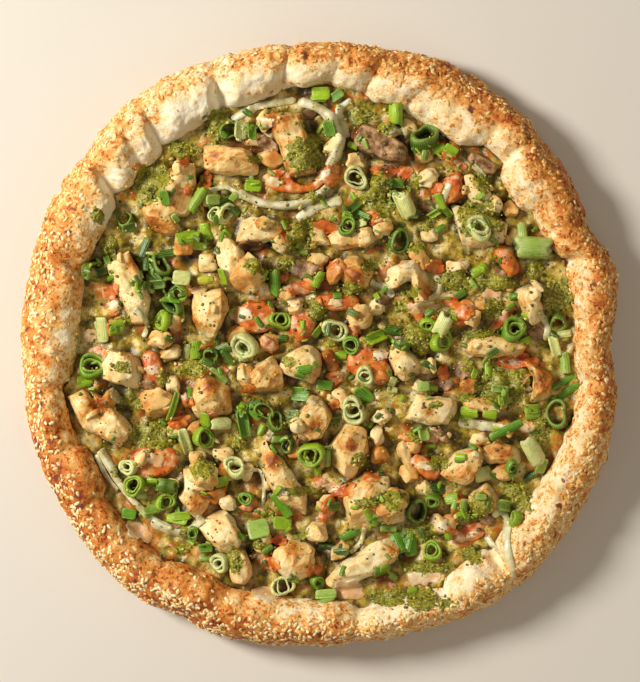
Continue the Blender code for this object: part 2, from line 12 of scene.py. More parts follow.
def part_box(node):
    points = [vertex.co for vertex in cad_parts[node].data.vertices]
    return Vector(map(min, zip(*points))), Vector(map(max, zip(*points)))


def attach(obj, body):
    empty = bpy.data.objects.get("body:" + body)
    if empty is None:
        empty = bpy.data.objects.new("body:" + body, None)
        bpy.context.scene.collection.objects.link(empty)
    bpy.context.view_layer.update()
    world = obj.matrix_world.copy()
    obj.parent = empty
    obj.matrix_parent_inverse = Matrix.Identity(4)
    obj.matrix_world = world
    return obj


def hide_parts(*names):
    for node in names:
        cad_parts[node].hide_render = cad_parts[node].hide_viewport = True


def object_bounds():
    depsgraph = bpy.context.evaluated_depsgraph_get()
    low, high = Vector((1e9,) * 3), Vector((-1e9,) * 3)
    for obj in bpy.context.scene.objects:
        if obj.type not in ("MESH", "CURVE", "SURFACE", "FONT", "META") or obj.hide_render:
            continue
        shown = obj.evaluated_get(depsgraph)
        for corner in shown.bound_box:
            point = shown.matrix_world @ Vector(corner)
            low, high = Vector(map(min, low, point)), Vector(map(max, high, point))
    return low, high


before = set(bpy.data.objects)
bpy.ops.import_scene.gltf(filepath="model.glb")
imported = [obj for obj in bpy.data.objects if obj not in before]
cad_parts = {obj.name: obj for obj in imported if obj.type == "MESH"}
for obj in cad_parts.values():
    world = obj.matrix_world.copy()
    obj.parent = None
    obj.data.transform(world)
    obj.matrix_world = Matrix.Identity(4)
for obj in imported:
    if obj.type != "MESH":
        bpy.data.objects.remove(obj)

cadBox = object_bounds()
bpy.ops.object.select_all(action="DESELECT")

mm = 0.001

# The plan's middle is beside the frame's origin. One spring onion ring has a known place in both.
knownRing = (19, -36)
lowCorner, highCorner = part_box("spring_onion_01")
offset = np.array((lowCorner + highCorner) / 2)[:2] / mm - np.array(knownRing)
bedTop = 15.0   # height of the level bed
highest = cadBox[1][2] / mm - 0.3   # nothing rises above this


def finish(piece, material, slot, *nodes):   # the last step for each piece
    bpy.ops.object.select_all(action="DESELECT")
    piece.data.materials.clear()
    piece.data.materials.append(material)
    piece.data.shade_smooth()
    if nodes:
        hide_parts(*nodes)
    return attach(piece, "root")


def pieceName(node):   # spring_onion_01 is dressed by springOnionPiece01
    first, *others = node.replace("_strip", "").split("_")
    return first + "".join(word.capitalize() for word in others[:-1]) + "Piece" + others[-1]


def pointsOf(mesh):
    points = np.empty(len(mesh.vertices) * 3, np.float32)
    mesh.vertices.foreach_get("co", points)
    return points.reshape(-1, 3) / mm


def normalsOf(mesh):
    normals = np.empty(len(mesh.vertices) * 3, np.float32)
    mesh.vertex_normals.foreach_get("vector", normals)
    return normals.reshape(-1, 3)


def movePoints(mesh, points):
    mesh.vertices.foreach_set("co", (points * mm).astype(np.float32).ravel())
    mesh.update()


def keepValues(mesh, name, values):   # a number or a colour at each vertex, for the material
    kind, field = ("FLOAT_COLOR", "color") if values.ndim == 2 else ("FLOAT", "value")
    attribute = mesh.attributes.new(name, kind, "POINT")
    if field == "color":
        values = np.hstack([values, np.ones((len(values), 1))])
    attribute.data.foreach_set(field, values.astype(np.float32).ravel())


def awayFrom(points, x, y):   # how far points are from a place in the plan, in mm
    return np.hypot(points[:, 0] - offset[0] - x, points[:, 1] - offset[1] - y)


def spotsOn(points, spots):   # for each (x, y, size): 1 at its middle, fading out round it
    return [np.exp(-(awayFrom(points, x, y) / size) ** 2) for x, y, size in spots]


def grain(points, size, shift=0.0):   # soft random values from -1 to 1, that change over this many mm
    scaled = points / size + shift
    return np.array([noise.noise(p) for p in scaled.tolist()])


def layered(points, layers):   # the sum of noises: (how strong, size, shift)
    return sum(strong * grain(points, size, shift) for strong, size, shift in layers)


def cracks(points, size, shift=0.0):   # 0 on the borders of torn lumps of this size, 1 inside them
    found = []
    for place in (points / size + shift).tolist():
        near = noise.voronoi(place)[0]
        found.append(near[1] - near[0])
    return np.minimum(1, np.array(found) * 3)


def unit(vector):
    return vector / np.linalg.norm(vector)


def smoothStep(low, high, values):
    t = np.clip((values - low) / (high - low), 0, 1)
    return t * t * (3 - 2 * t)


def curvePoint(p0, p1, p2, p3, t):   # on a smooth curve, from p1 at t = 0 to p2 at t = 1
    return 0.5 * (2 * p1 + (p2 - p0) * t + (2 * p0 - 5 * p1 + 4 * p2 - p3) * t ** 2
                  + (3 * p1 - p0 - 3 * p2 + p3) * t ** 3)


def roundRing(pairs, angles):   # a smooth value at each angle, from (angle, value) pairs round the pizza
    a = np.array([pair[0] for pair in pairs], float)
    v = np.array([pair[1] for pair in pairs], float)
    a = np.concatenate([a[-2:] - 360, a, a[:2] + 360])
    v = np.concatenate([v[-2:], v, v[:2]])
    angles = angles % 360
    i = np.searchsorted(a, angles, side="right") - 1
    return curvePoint(v[i - 1], v[i], v[i + 1], v[i + 2], (angles - a[i]) / (a[i + 1] - a[i]))


def linear(*colour):   # a colour of 0 to 255 parts, as light
    return [((c / 255 + 0.055) / 1.055) ** 2.4 if c > 10 else c / 255 / 12.92 for c in colour]


class Wire:   # a socket of a material, to be used in sums
    def __init__(self, tree, socket=None):
        self.tree, self.socket = tree, socket

    def node(self, kind, settings=None, values=None, out=0):
        made = self.tree.nodes.new("ShaderNode" + kind)
        for name, value in (settings or {}).items():
            if name == "stops":
                ends = made.color_ramp.elements
                ends[0].position, ends[0].color = value[0]
                ends[1].position, ends[1].color = value[-1]
                for place, colour in value[1:-1]:
                    ends.new(place).color = colour
            else:
                setattr(made, name, value)
        for name, value in (values or {}).items():
            if isinstance(value, Wire):
                self.tree.links.new(value.socket, made.inputs[name])
            else:
                made.inputs[name].default_value = value
        return Wire(self.tree, made.outputs[out])

    def sum(self, operation, first, second=0.0, clamp=False):
        return self.node("Math", {"operation": operation, "use_clamp": clamp}, {0: first, 1: second})

    def __add__(self, other):
        return self.sum("ADD", self, other)

    __radd__ = __add__

    def __sub__(self, other):
        return self.sum("SUBTRACT", self, other)

    def __rsub__(self, other):
        return self.sum("SUBTRACT", other, self)

    def __mul__(self, other):
        return self.sum("MULTIPLY", self, other)

    __rmul__ = __mul__

    def clamped(self):
        return self.sum("ADD", self, 0.0, clamp=True)

    def from0to1(self, low, high):   # 0 at low, 1 at high, and smooth between
        return self.node("MapRange", {"interpolation_type": "SMOOTHSTEP"}, {0: self, 1: low, 2: high})

    def value(self, name):   # a number kept on the mesh
        return self.node("Attribute", {"attribute_name": name}, out="Fac")

    def colour(self, name):   # a colour kept on the mesh
        return self.node("Attribute", {"attribute_name": name}, out="Color")

    def specks(self, size, detail=3.0, rough=0.55, twist=0.0):   # soft noise of this size in mm
        place = self.node("TexCoord", out="Object")
        return self.node("TexNoise", {}, {"Vector": place, "Scale": 1 / (size * mm), "Detail": detail,
                                          "Roughness": rough, "Distortion": twist})

    def cells(self, size):   # 0 in the middles of cells of this size in mm
        place = self.node("TexCoord", out="Object")
        return self.node("TexVoronoi", {}, {"Vector": place, "Scale": 1 / (size * mm)})

    def blend(self, amount, first, second, mode="MIX"):
        first = first if isinstance(first, Wire) else (*linear(*first), 1)
        second = second if isinstance(second, Wire) else (*linear(*second), 1)
        return self.node("Mix", {"data_type": "RGBA", "blend_type": mode},
                         {0: amount, 6: first, 7: second}, out=2)

    def ramp(self, amount, *stops):
        stops = [(place, (*linear(*colour), 1)) for place, colour in stops]
        return self.node("ValToRGB", {"stops": stops}, {0: amount})


def newMaterial(name, **fixed):   # a wire to start the sums of a new material from
    material = bpy.data.materials.new(name)
    material.use_nodes = True
    wire = Wire(material.node_tree)
    wire.material, wire.shader = material, material.node_tree.nodes["Principled BSDF"]
    for key, value in fixed.items():
        wire.shader.inputs[key.replace("_", " ")].default_value = value
    return wire


def plug(wire, colour, roughness, bump, depth):   # depth is how far the bump stands out, in mm
    relief = wire.node("Bump", {}, {"Height": bump, "Distance": depth * mm, "Strength": 1.0})
    for name, value in (("Base Color", colour), ("Roughness", roughness), ("Normal", relief)):
        wire.tree.links.new(value.socket, wire.shader.inputs[name])
    return wire.material


# Rim and base of dough
crust = {
    "around": 1150, "across": 82, "height": 29.6, "base": 8.0, "foldWidth": 7.5,
    "reach": 155,   # the radius at which the folds' widths are measured
    "swell": 1.2,   # how far the lobes between folds differ in height
    "roomBelow": 1.1, "roomAbove": (1.1, 1.1, 0.2),   # left for the seeds inside the box of the solids
    "wrinkles": 0.8, "blisters": 0.7, "sunk": 0.6,
    # swells and lumps: (how strong inside the rim, how much stronger outside, size, shift)
    "lumps": ((1.6, 0, 24, 0), (1.1, 0, 9, 5), (0.30, 0.25, 3.6, 9), (0.10, 0.10, 1.8, 3)),
    "colours": (
        (0.0, (254, 244, 218)), (0.30, (250, 226, 176)), (0.48, (240, 188, 112)), (0.66, (224, 146, 64)),
        (0.86, (194, 104, 40)), (1.0, (136, 60, 24))),
    "outerEdge": (
        (0, 161), (6, 164), (14, 169), (23, 162), (32, 165), (45, 168), (64, 170.5), (78, 167.5),
        (92, 166), (112, 168), (130, 170), (141, 166), (160, 166.5), (168, 164), (185, 164),
        (205, 166), (220, 169), (232, 171), (243, 167.5), (250, 169.5), (262, 166.5), (279, 164.5),
        (292, 167.5), (304, 172), (315, 172.5), (325, 169), (342, 168.5), (353, 164)),
    # (angle at the outer edge, angle at the inner edge, depth, inner radius of the lobe after it)
    "folds": (
        (5, 5, 1.5, 139), (15.5, 19, 4.0, 136), (31, 32, 1.4, 131), (43.5, 44.5, 2.8, 140),
        (50.5, 50.5, 2.2, 132), (64, 70, 2.0, 136), (76, 80, 2.8, 139), (83, 88, 1.8, 140),
        (95, 98.5, 3.4, 136), (110.5, 112.5, 5.0, 135.5), (126, 128.5, 3.5, 134),
        (131, 135, 2.5, 134.5), (140.5, 144, 5.0, 131.5), (160.5, 162.5, 3.5, 131),
        (188, 189, 1.4, 141), (203, 203, 1.4, 137), (214, 215, 1.2, 143), (234, 235, 1.4, 138.5),
        (249, 250, 1.4, 138), (277, 278.5, 2.2, 145), (296, 297, 3.5, 142), (308.5, 310, 4.0, 142),
        (353, 352, 2.5, 139)),
    # the section from its inner foot over the top: (-1 inner edge to 1 outer edge, share of height)
    "section": (
        (-1.0, 0.27), (-1.0, 0.45), (-0.92, 0.68), (-0.70, 0.87), (-0.36, 0.97), (0.02, 1.0),
        (0.40, 0.95), (0.72, 0.80), (0.93, 0.57), (1.0, 0.35), (0.94, 0.13), (0.80, 0.0)),
    # how browned the inner and the outer half are: (angle, inner, outer)
    "browning": (
        (0, 0.50, 0.78), (12, 0.50, 0.78), (22, 0.58, 0.82), (35, 0.38, 0.78), (50, 0.30, 0.78),
        (65, 0.30, 0.74), (80, 0.34, 0.70), (95, 0.16, 0.56), (105, 0.06, 0.42), (118, 0.05, 0.42),
        (130, 0.22, 0.54), (140, 0.20, 0.60), (150, 0.30, 0.66), (160, 0.62, 0.76), (172, 0.42, 0.74),
        (185, 0.44, 0.66), (195, 0.58, 0.80), (205, 0.66, 0.88), (215, 0.68, 0.92), (226, 0.64, 0.76),
        (236, 0.72, 0.86), (250, 0.66, 0.86), (262, 0.40, 0.74), (274, 0.42, 0.74), (284, 0.12, 0.54),
        (300, 0.20, 0.56), (312, 0.34, 0.54), (325, 0.32, 0.55), (338, 0.38, 0.56), (349, 0.48, 0.80)),
    # burnt spots: (angle, radius, size)
    "burnt": (
        (32, 165, 4), (29, 159, 3.5), (12, 152, 3), (42, 152, 3), (57, 152, 3), (200, 162, 3.5),
        (207, 160, 3.5), (214, 158, 4.5), (212, 154, 3), (243.5, 161, 3.5), (326, 157, 2.5),
        (161, 157, 3), (156, 149, 3), (351, 163, 2.5), (192, 155, 3), (234, 144, 3), (93, 157, 3)),
}


def roundSection():   # the section as evenly spaced points
    knots = np.array(crust["section"])
    ends = np.vstack([2 * knots[0] - knots[1], knots, 2 * knots[-1] - knots[-2]])
    t = np.linspace(0, 1, 30, endpoint=False)[:, None]
    fine = [curvePoint(*four, t) for four in zip(ends, ends[1:], ends[2:], ends[3:])]
    fine = np.vstack([*fine, knots[-1:]])
    along = np.concatenate([[0], np.cumsum(np.hypot(*(np.diff(fine, axis=0) * (14, 28)).T))])
    even = np.linspace(0, along[-1], crust["across"] - 1)
    return np.interp(even, along, fine[:, 0]), np.clip(np.interp(even, along, fine[:, 1]), 0, 1)


def foldShape(angles):   # for columns at these outer angles: inner angle, inner radius, height, press
    folds = np.array(crust["folds"])
    outer, inner, depth, lobe = folds.T
    count = len(folds)
    angles = (angles - outer[0]) % 360 + outer[0]
    i = np.searchsorted(outer, angles, side="right") - 1
    after = (i + 1) % count
    turn = np.where(after == 0, 360, 0)
    share = (angles - outer[i]) / (outer[after] + turn - outer[i])
    innerAngle = inner[i] + (inner[after] + turn - inner[i]) * share
    deep = np.clip(depth / 8, 0, 0.5)   # shallow folds join their lobes smoothly
    start = (lobe[i] + lobe[i - 1]) / 2 + abs(lobe[i] - lobe[i - 1]) * deep[i] + 0.6 + 0.4 * depth[i]
    end = (lobe[i] + lobe[after]) / 2 + abs(lobe[i] - lobe[after]) * deep[after] + 0.6 + 0.4 * depth[after]
    lift = np.sqrt(np.sin(np.pi * np.clip(share, 0, 1)))
    radius = (start + (end - start) * share) * (1 - lift) + lobe[i] * lift
    draw = random.Random(4)
    swell = np.array([draw.uniform(-1, 1) * crust["swell"] for _ in folds])
    height = crust["height"] + swell[i] * lift
    span = (outer[after] + turn - outer[i]) * np.pi / 180 * crust["reach"] / crust["foldWidth"]

    def valley(away, width):   # a soft hollow with a narrow crease along its bottom
        return (0.62 * (1 - smoothStep(0, width, away))
                + 0.38 * np.clip(1 - away / (width * 0.4), 0, 1) ** 1.3)

    firm = depth * (0.45 + 0.2 * depth)
    press = np.maximum(firm[i] * valley(share * span, 1.0), firm[after] * valley((1 - share) * span, 1.9))
    height = height - 0.4 * (depth[i] * (1 - share) + depth[after] * share) * (1 - lift)
    return innerAngle, radius, height, press


def innerEdge(angles):   # the rim's inner radius at these angles
    columns = np.linspace(0, 360, 2400, endpoint=False)
    innerAngle, radius, _, _ = foldShape(columns)
    order = np.argsort(innerAngle % 360)
    return np.interp(angles % 360, (innerAngle % 360)[order], radius[order], period=360)


def makeCrust():
    around, across = crust["around"], crust["across"]
    bpy.ops.mesh.primitive_uv_sphere_add(segments=around, ring_count=across + 2, radius=1)
    piece = bpy.context.object
    piece.name = "doughRim"
    mesh = piece.data
    ball = pointsOf(mesh) * mm
    row = np.rint(np.arccos(np.clip(ball[:, 2], -1, 1)) / np.pi * (across + 2)).astype(int)
    column = np.arctan2(ball[:, 1], ball[:, 0]) % (2 * np.pi)
    angles = np.degrees(column)
    innerAngle, innerRadius, height, press = foldShape(angles)
    outerRadius = roundRing(crust["outerEdge"], angles)
    sideways, rise = roundSection()
    section = np.clip(row - 2, 0, across - 2)
    sideways, rise = sideways[section], rise[section]
    rise = np.where(row <= 1, crust["base"] / height, rise)
    ahead = (angles - innerAngle + 180) % 360 - 180
    turned = np.radians(innerAngle + ahead * (sideways + 1) / 2)
    middle, half = (outerRadius + innerRadius) / 2, (outerRadius - innerRadius) / 2
    outward = smoothStep(-0.2, 0.6, sideways)
    pressed = press * np.minimum(1, rise * 1.6)
    inside = 1.7 - 1.55 * smoothStep(-0.7, 0.6, sideways)   # folds run out towards the outer edge
    radius = middle + sideways * (half - pressed * outward * 0.4)
    z = rise * height - pressed * np.clip(rise - 0.4, 0, 1) / 0.6 * inside
    radius = np.where(row == 1, innerRadius, radius)
    z = np.where(row <= 1, crust["base"], z)
    flat = (row == 0) | (row >= across + 1)
    radius = np.where((row == 0) | (row == across + 2), 0, radius)
    z = np.where(row >= across + 1, 0, z)
    points = np.stack([radius * np.cos(turned), radius * np.sin(turned), z], 1)
    movePoints(mesh, points)
    # uneven dough: broad swells, small lumps, wrinkles that run across the rim, and blisters
    free = smoothStep(1.0, 6.0, z) * ~flat
    polar = np.stack([turned * 150, radius * 0.25, z * 0.25], 1)
    seeded = smoothStep(-0.5, 0.3, sideways)
    bump = layered(points, ((strong + stronger * seeded, size, shift)
                            for strong, stronger, size, shift in crust["lumps"]))
    bump = bump + crust["wrinkles"] * grain(polar, 5.5, 7) - crust["sunk"]
    bump = bump + crust["blisters"] * smoothStep(0.25, 0.6, grain(points, 5.5, 21))
    points = points + normalsOf(mesh) * (bump * free)[:, None]
    points[:, 0] += offset[0]
    points[:, 1] += offset[1]
    low, high = (np.array(corner) / mm for corner in cadBox)
    points = np.clip(points, low + crust["roomBelow"], high - crust["roomAbove"])
    points[:, 2] = np.where(row >= across + 1, 0, points[:, 2])
    movePoints(mesh, points)
    # browning
    table = crust["browning"]
    inner = roundRing([row[:2] for row in table], angles) * 0.9
    outer = roundRing([row[::2] for row in table], angles) - 0.05
    soft = grain(points, 14, 2) * 0.5
    brown = inner + (outer - inner) * smoothStep(-0.45, 0.35, sideways + soft * 0.5)
    brown = brown + 0.25 * grain(points, 7, 8) - 0.02 * press * (sideways < 0.3) - 0.03
    spots = [(reach * math.cos(math.radians(angle)), reach * math.sin(math.radians(angle)), size)
             for angle, reach, size in crust["burnt"]]
    burnt = np.max(spotsOn(points, spots), 0) * (0.75 + 0.6 * grain(points, 2.2, 4)) * (points[:, 2] > 12)
    keepValues(mesh, "brown", brown)
    keepValues(mesh, "burnt", burnt)
    keepValues(mesh, "under", 1 - smoothStep(2.0, 12.0, points[:, 2]))
    keepValues(mesh, "pesto", pestoAt(points) * smoothStep(16, 20, points[:, 2]) * 0.85)
    return finish(piece, doughMaterial(), "crust", "crust"), sideways, angles


def doughMaterial():
    wire = newMaterial("bakedDough", Subsurface_Weight=0.06, Subsurface_Scale=0.002,
                       Specular_IOR_Level=0.35)
    brown = wire.value("brown") + (wire.specks(5, 3) - 0.5) * 0.80 + (wire.specks(2.4, 2) - 0.5) * 0.60
    flecks = wire.specks(2.6, 2, 0.5, 0.8).from0to1(0.56, 0.62)
    brown = brown + flecks * wire.value("brown").from0to1(-0.05, 0.4) * 0.32
    colour = wire.ramp(brown, *crust["colours"])
    crisp = wire.cells(3.6).from0to1(0.30, 0.17) * wire.value("brown").from0to1(0.02, 0.4)
    colour = wire.blend(crisp * 0.75, colour, (202, 116, 40))
    crumbs = wire.cells(2.3).from0to1(0.26, 0.15) * wire.value("brown").from0to1(0.0, 0.4)
    colour = wire.blend(crumbs * 0.65, colour, (134, 68, 24))
    pale = wire.specks(12, 4, 0.6).from0to1(0.42, 0.66) * 0.4
    colour = wire.blend(pale, colour, (244, 222, 168), "MULTIPLY")
    patch = (wire.value("burnt") + (wire.specks(1.3, 2) - 0.5) * 0.5).from0to1(0.35, 0.62)
    colour = wire.blend(patch, colour, (122, 64, 44))
    colour = wire.blend(wire.value("under") * 0.8, colour, (206, 160, 100))
    pesto = (wire.value("pesto") + (wire.specks(2.2, 3) - 0.5) * 0.9).from0to1(0.40, 0.62)
    green = wire.ramp(wire.specks(1.2, 2), (0.32, (74, 78, 22)), (0.6, (142, 140, 66)))
    colour = wire.blend(pesto, colour, green)
    relief = wire.specks(3.2, 3, 0.6) + wire.specks(0.9, 2) * 0.15
    return plug(wire, colour, 0.82 - brown.clamped() * 0.25, relief, 0.8)


# Pesto, spooned over everything: (x, y, length, width)
pestoPatches = (
    (-92, 88, 20, 22), (-74, 106, 16, 10), (-54, 120, 18, 16), (-8, 103, 20, 22), (22, 125, 16, 9),
    (36, 118, 9, 8), (33, 82, 18, 24), (-10, 58, 16, 20), (89, 88, 10, 12), (88, 67, 26, 22),
    (75, 35, 20, 12), (97, 34, 26, 9), (130, 26, 16, 24), (0, 17, 11, 11), (-36, 42, 12, 10),
    (17, 30, 14, 8), (28, 43, 10, 8), (-114, 52, 8, 16), (-108, -12, 10, 7), (-68, -13, 18, 10),
    (-92, -50, 22, 16), (-63, -68, 14, 12), (-35, -108, 12, 10), (-46, -118, 10, 14), (-75, -112, 8, 6),
    (-16, -10, 8, 8), (96, 20, 12, 10), (90, 6, 24, 7), (53, 3, 16, 18), (100, -22, 34, 22),
    (64, -33, 8, 4), (22, -63, 10, 8), (40, -85, 18, 14), (-8, -80, 20, 5), (25, -86, 16, 5),
    (88, -88, 14, 14), (106, -80, 14, 10), (122, -48, 10, 16), (110, -86, 14, 12), (84, -115, 12, 10),
    (55, -103, 20, 12), (60, -122, 26, 7), (69, -141, 12, 8), (56, -139, 24, 12), (38, -138, 24, 10),
    (-120, 70, 8, 10), (-88, 12, 8, 8), (118, 40, 10, 10), (-44, -54, 9, 8), (-18, 44, 9, 9),
    (52, -50, 9, 8), (5, 118, 9, 9), (58, 66, 9, 9), (-104, -30, 9, 8))
pestoLook = {"colours": ((0.33, (70, 70, 2)), (0.43, (114, 114, 10)), (0.52, (152, 148, 28)),
                         (0.62, (204, 192, 80))),
             "smearThick": 1.1, "grainsPerArea": 0.10, "grainSize": (0.35, 0.85), "grainShare": 0.85,
             "lumpSize": (0.9, 1.5),   # what isn't a grain is a lump
             "grains": ((72, 72, 3), (108, 111, 10), (136, 135, 18), (164, 157, 40), (200, 188, 88),
                        (222, 204, 112), (104, 112, 8), (52, 42, 8))}


def pestoAt(points):   # how much pesto lies over each point
    x, y = points[:, 0] - offset[0], points[:, 1] - offset[1]
    ragged = 0.42 * grain(points, 5.5, 60) + 0.30 * grain(points, 2.4, 70)
    most = np.zeros(len(points))
    for px, py, length, width in pestoPatches:
        away = np.hypot((x - px) / (length / 2), (y - py) / (width / 2)) + ragged
        most = np.maximum(most, 1 - smoothStep(0.45, 1.2, away))
    return most


class Relief:   # the height of all that has been laid so far, on a grid of 1 mm
    def __init__(self):
        self.half = 180
        self.heights = np.zeros((2 * self.half + 1, 2 * self.half + 1))

    def add(self, points):
        i, j = (np.rint(points[:, :2]).astype(int) + self.half).T
        np.maximum.at(self.heights, (i, j), points[:, 2])

    def spread(self, reach):   # the mean height round each cell
        steps = range(-reach, reach + 1)
        rows = sum(np.roll(self.heights, step, 0) for step in steps) / len(steps)
        return sum(np.roll(rows, step, 1) for step in steps) / len(steps)

    def settle(self):   # called when a layer is complete
        self.soft = self.spread(1)

    def under(self, x, y):   # the height of the last complete layer
        i, j = (np.clip(place + self.half, 0, 2 * self.half - 1.01) for place in (x, y))
        i0, j0 = i.astype(int), j.astype(int)
        u, v = i - i0, j - j0
        h = self.soft
        return ((h[i0, j0] * (1 - u) + h[i0 + 1, j0] * u) * (1 - v)
                + (h[i0, j0 + 1] * (1 - u) + h[i0 + 1, j0 + 1] * u) * v)

    def seat(self, x, y, reach, steep=0.6):   # height and slopes of a flat thing laid here
        i, j = int(round(x)) + self.half, int(round(y)) + self.half
        span = max(1, int(round(reach)))
        dx, dy = np.mgrid[-span:span + 1, -span:span + 1]
        inside = np.hypot(dx, dy) <= reach + 0.3
        h = self.heights[i - span:i + span + 1, j - span:j + span + 1][inside]
        dx, dy = dx[inside], dy[inside]
        fit = np.linalg.lstsq(np.stack([dx, dy, np.ones(len(dx))], 1), h, rcond=None)[0]
        slope = np.clip(fit[:2], -steep, steep)
        lift = np.percentile(h - slope[0] * dx - slope[1] * dy, 75)
        return lift, slope


def turnFrame(slope, turn):   # axes of a thing that lies on this slope, turned by this angle
    up = unit(np.array([-slope[0], -slope[1], 1.0]))
    along = np.array([math.cos(turn), math.sin(turn), 0])
    along = unit(along - up * along.dot(up))
    return np.stack([along, np.cross(up, along), up])


class Pile:   # many small things that become one mesh
    def __init__(self):
        self.points, self.faces, self.values, self.count = [], [], {}, 0

    def add(self, points, faces, **values):
        self.points.append(points)
        self.faces.append(faces + self.count)
        self.count += len(points)
        for name, value in values.items():
            value = np.asarray(value, float)
            if not value.ndim or len(value) != len(points):   # the same value for every point
                value = np.tile(value, (len(points), 1))
            self.values.setdefault(name, []).append(value.reshape(len(points), -1))

    def piece(self, name, material, slot, *nodes):
        points, faces = np.vstack(self.points), np.vstack(self.faces)
        mesh = bpy.data.meshes.new(name)
        mesh.vertices.add(len(points))
        mesh.loops.add(faces.size)
        mesh.polygons.add(len(faces))
        mesh.vertices.foreach_set("co", (points * mm).astype(np.float32).ravel())
        mesh.loops.foreach_set("vertex_index", faces.astype(np.int32).ravel())
        mesh.polygons.foreach_set("loop_start", np.arange(0, faces.size, faces.shape[1], dtype=np.int32))
        mesh.update(calc_edges=True)
        mesh.validate()
        for key, rows in self.values.items():
            rows = np.vstack(rows)
            keepValues(mesh, key, rows if rows.shape[1] == 3 else rows[:, 0])
        thing = bpy.data.objects.new(name, mesh)
        bpy.context.scene.collection.objects.link(thing)
        return finish(thing, material, slot, *nodes)


def template(adder, **sizes):   # points and faces of a primitive, to be shaped and copied
    adder(**sizes)
    thing = bpy.context.object
    bpy.ops.object.mode_set(mode="EDIT")
    bpy.ops.mesh.select_all(action="SELECT")
    if any(len(face.vertices) == 4 for face in thing.data.polygons):
        bpy.ops.mesh.quads_convert_to_tris()
    bpy.ops.object.mode_set(mode="OBJECT")
    points = pointsOf(thing.data) * mm
    faces = np.array([face.vertices[:] for face in thing.data.polygons])
    bpy.data.objects.remove(thing)
    return points, faces


# Sesame seeds on the rim
seeds = {"count": 3500, "length": 3.1, "width": 1.9, "thick": 0.8, "apart": 1.7, "sink": 0.05,
         # how thick the seeds lie: (angle, share, where they start across the rim)
         "cover": ((0, 0.8, 0.0), (20, 0.8, 0.2), (45, 0.9, 0.3), (70, 0.95, 0.3), (88, 0.7, 0.4),
                   (103, 0.40, 0.45), (120, 0.45, 0.35), (140, 0.60, 0.25), (160, 0.75, 0.1),
                   (185, 0.8, 0.2), (205, 0.75, 0.15), (220, 1.0, 0.05), (240, 1.0, 0.05),
                   (258, 1.0, 0.05), (275, 1.0, -0.1), (290, 1.1, -0.1), (310, 1.1, 0.0),
                   (330, 1.0, 0.0), (345, 0.8, 0.1))}


def seedShape():
    points, faces = template(bpy.ops.mesh.primitive_uv_sphere_add, segments=7, ring_count=5, radius=0.5)
    x, y, z = points[:, 2], points[:, 0], points[:, 1]
    narrow = np.sqrt(np.clip(0.5 - x, 0, 1)) * 0.55 + 0.6
    return np.stack([x * seeds["length"], y * seeds["width"] * narrow, z * seeds["thick"]], 1), faces


def scatterSeeds(rim, sideways, angles):
    draw = np.random.default_rng(7)
    points, normals = pointsOf(rim.data), normalsOf(rim.data)
    amount = roundRing([row[:2] for row in seeds["cover"]], angles)
    start = roundRing([row[::2] for row in seeds["cover"]], angles)
    chance = amount * (smoothStep(-0.35, 0.3, sideways - start) + 0.07) * (points[:, 2] > 6)
    chance = chance * (0.35 + smoothStep(-0.25, 0.35, grain(points, 9, 30)))
    chance[(sideways < -0.95) | (points[:, 2] < 6)] = 0
    chosen = draw.choice(len(points), seeds["count"] * 3, replace=False, p=chance / chance.sum())
    shape, faces = seedShape()
    taken, pile, laid = {}, Pile(), 0
    for i in chosen:
        place = points[i]
        cell = tuple((place // seeds["apart"]).astype(int))
        if cell in taken or laid >= seeds["count"]:
            continue
        taken[cell] = laid
        laid += 1
        up = unit(normals[i] + draw.normal(0, 0.22, 3))
        along = unit(np.cross(up, draw.normal(0, 1, 3)))
        axes = np.stack([along, np.cross(up, along), up])
        size = draw.uniform(0.85, 1.12)
        toast = np.clip(draw.normal(0.43 + 0.22 * math.cos(math.radians(angles[i] - 40)), 0.24), 0, 1)
        pile.add(place + up * seeds["thick"] * seeds["sink"] + (shape * size) @ axes, faces, toast=toast)
    wire = newMaterial("sesameSeed", Subsurface_Weight=0.1, Subsurface_Scale=0.001)
    colour = wire.ramp(wire.value("toast") + (wire.specks(1.5, 1) - 0.5) * 0.3, (0.0, (253, 236, 192)),
                       (0.35, (246, 212, 138)), (0.7, (226, 168, 82)), (1.0, (182, 110, 42)))
    material = plug(wire, colour, wire.value("toast") * 0.1 + 0.45, wire.specks(0.6, 1), 0.1)
    return pile.piece("sesameSeeds", material, "sesame")


# Chicken
chicken = {"voxel": 0.9, "larger": 1.08, "lower": 0.88, "lumps": 0.9, "tears": 0.65, "fibres": 0.22,
           "faces": 12, "cut": (0.66, 0.90), "evenBrown": (0.12, 0.44),
           "toasted": 0.62, "toastedSmall": 0.6,   # how brown the places below are
           "colours": ((0.0, (252, 236, 188)), (0.28, (246, 217, 152)), (0.50, (230, 184, 106)),
                       (0.72, (209, 134, 48)), (1.0, (146, 70, 16))),
           # browned places: (x, y, size)
           "browned": ((-91, 65, 6), (-42, 99, 5), (-57, 103, 4), (-26, 121, 5), (-70, 9, 6),
                       (-14, -112, 6), (58, 30, 6), (122, -18, 9), (99, -59, 8), (-104, -3, 4),
                       (-67, -87, 6), (-121, -32, 5),
                       (6, -9, 6), (21, 36, 5), (28, -87, 5), (60, -36, 4), (-20, 60, 4), (18, -56, 4),
                       (-102, 44, 4), (40, -112, 4), (-60, -22, 4), (86, 60, 4), (-1, -44, 4),
                       (-25, -64, 4))}


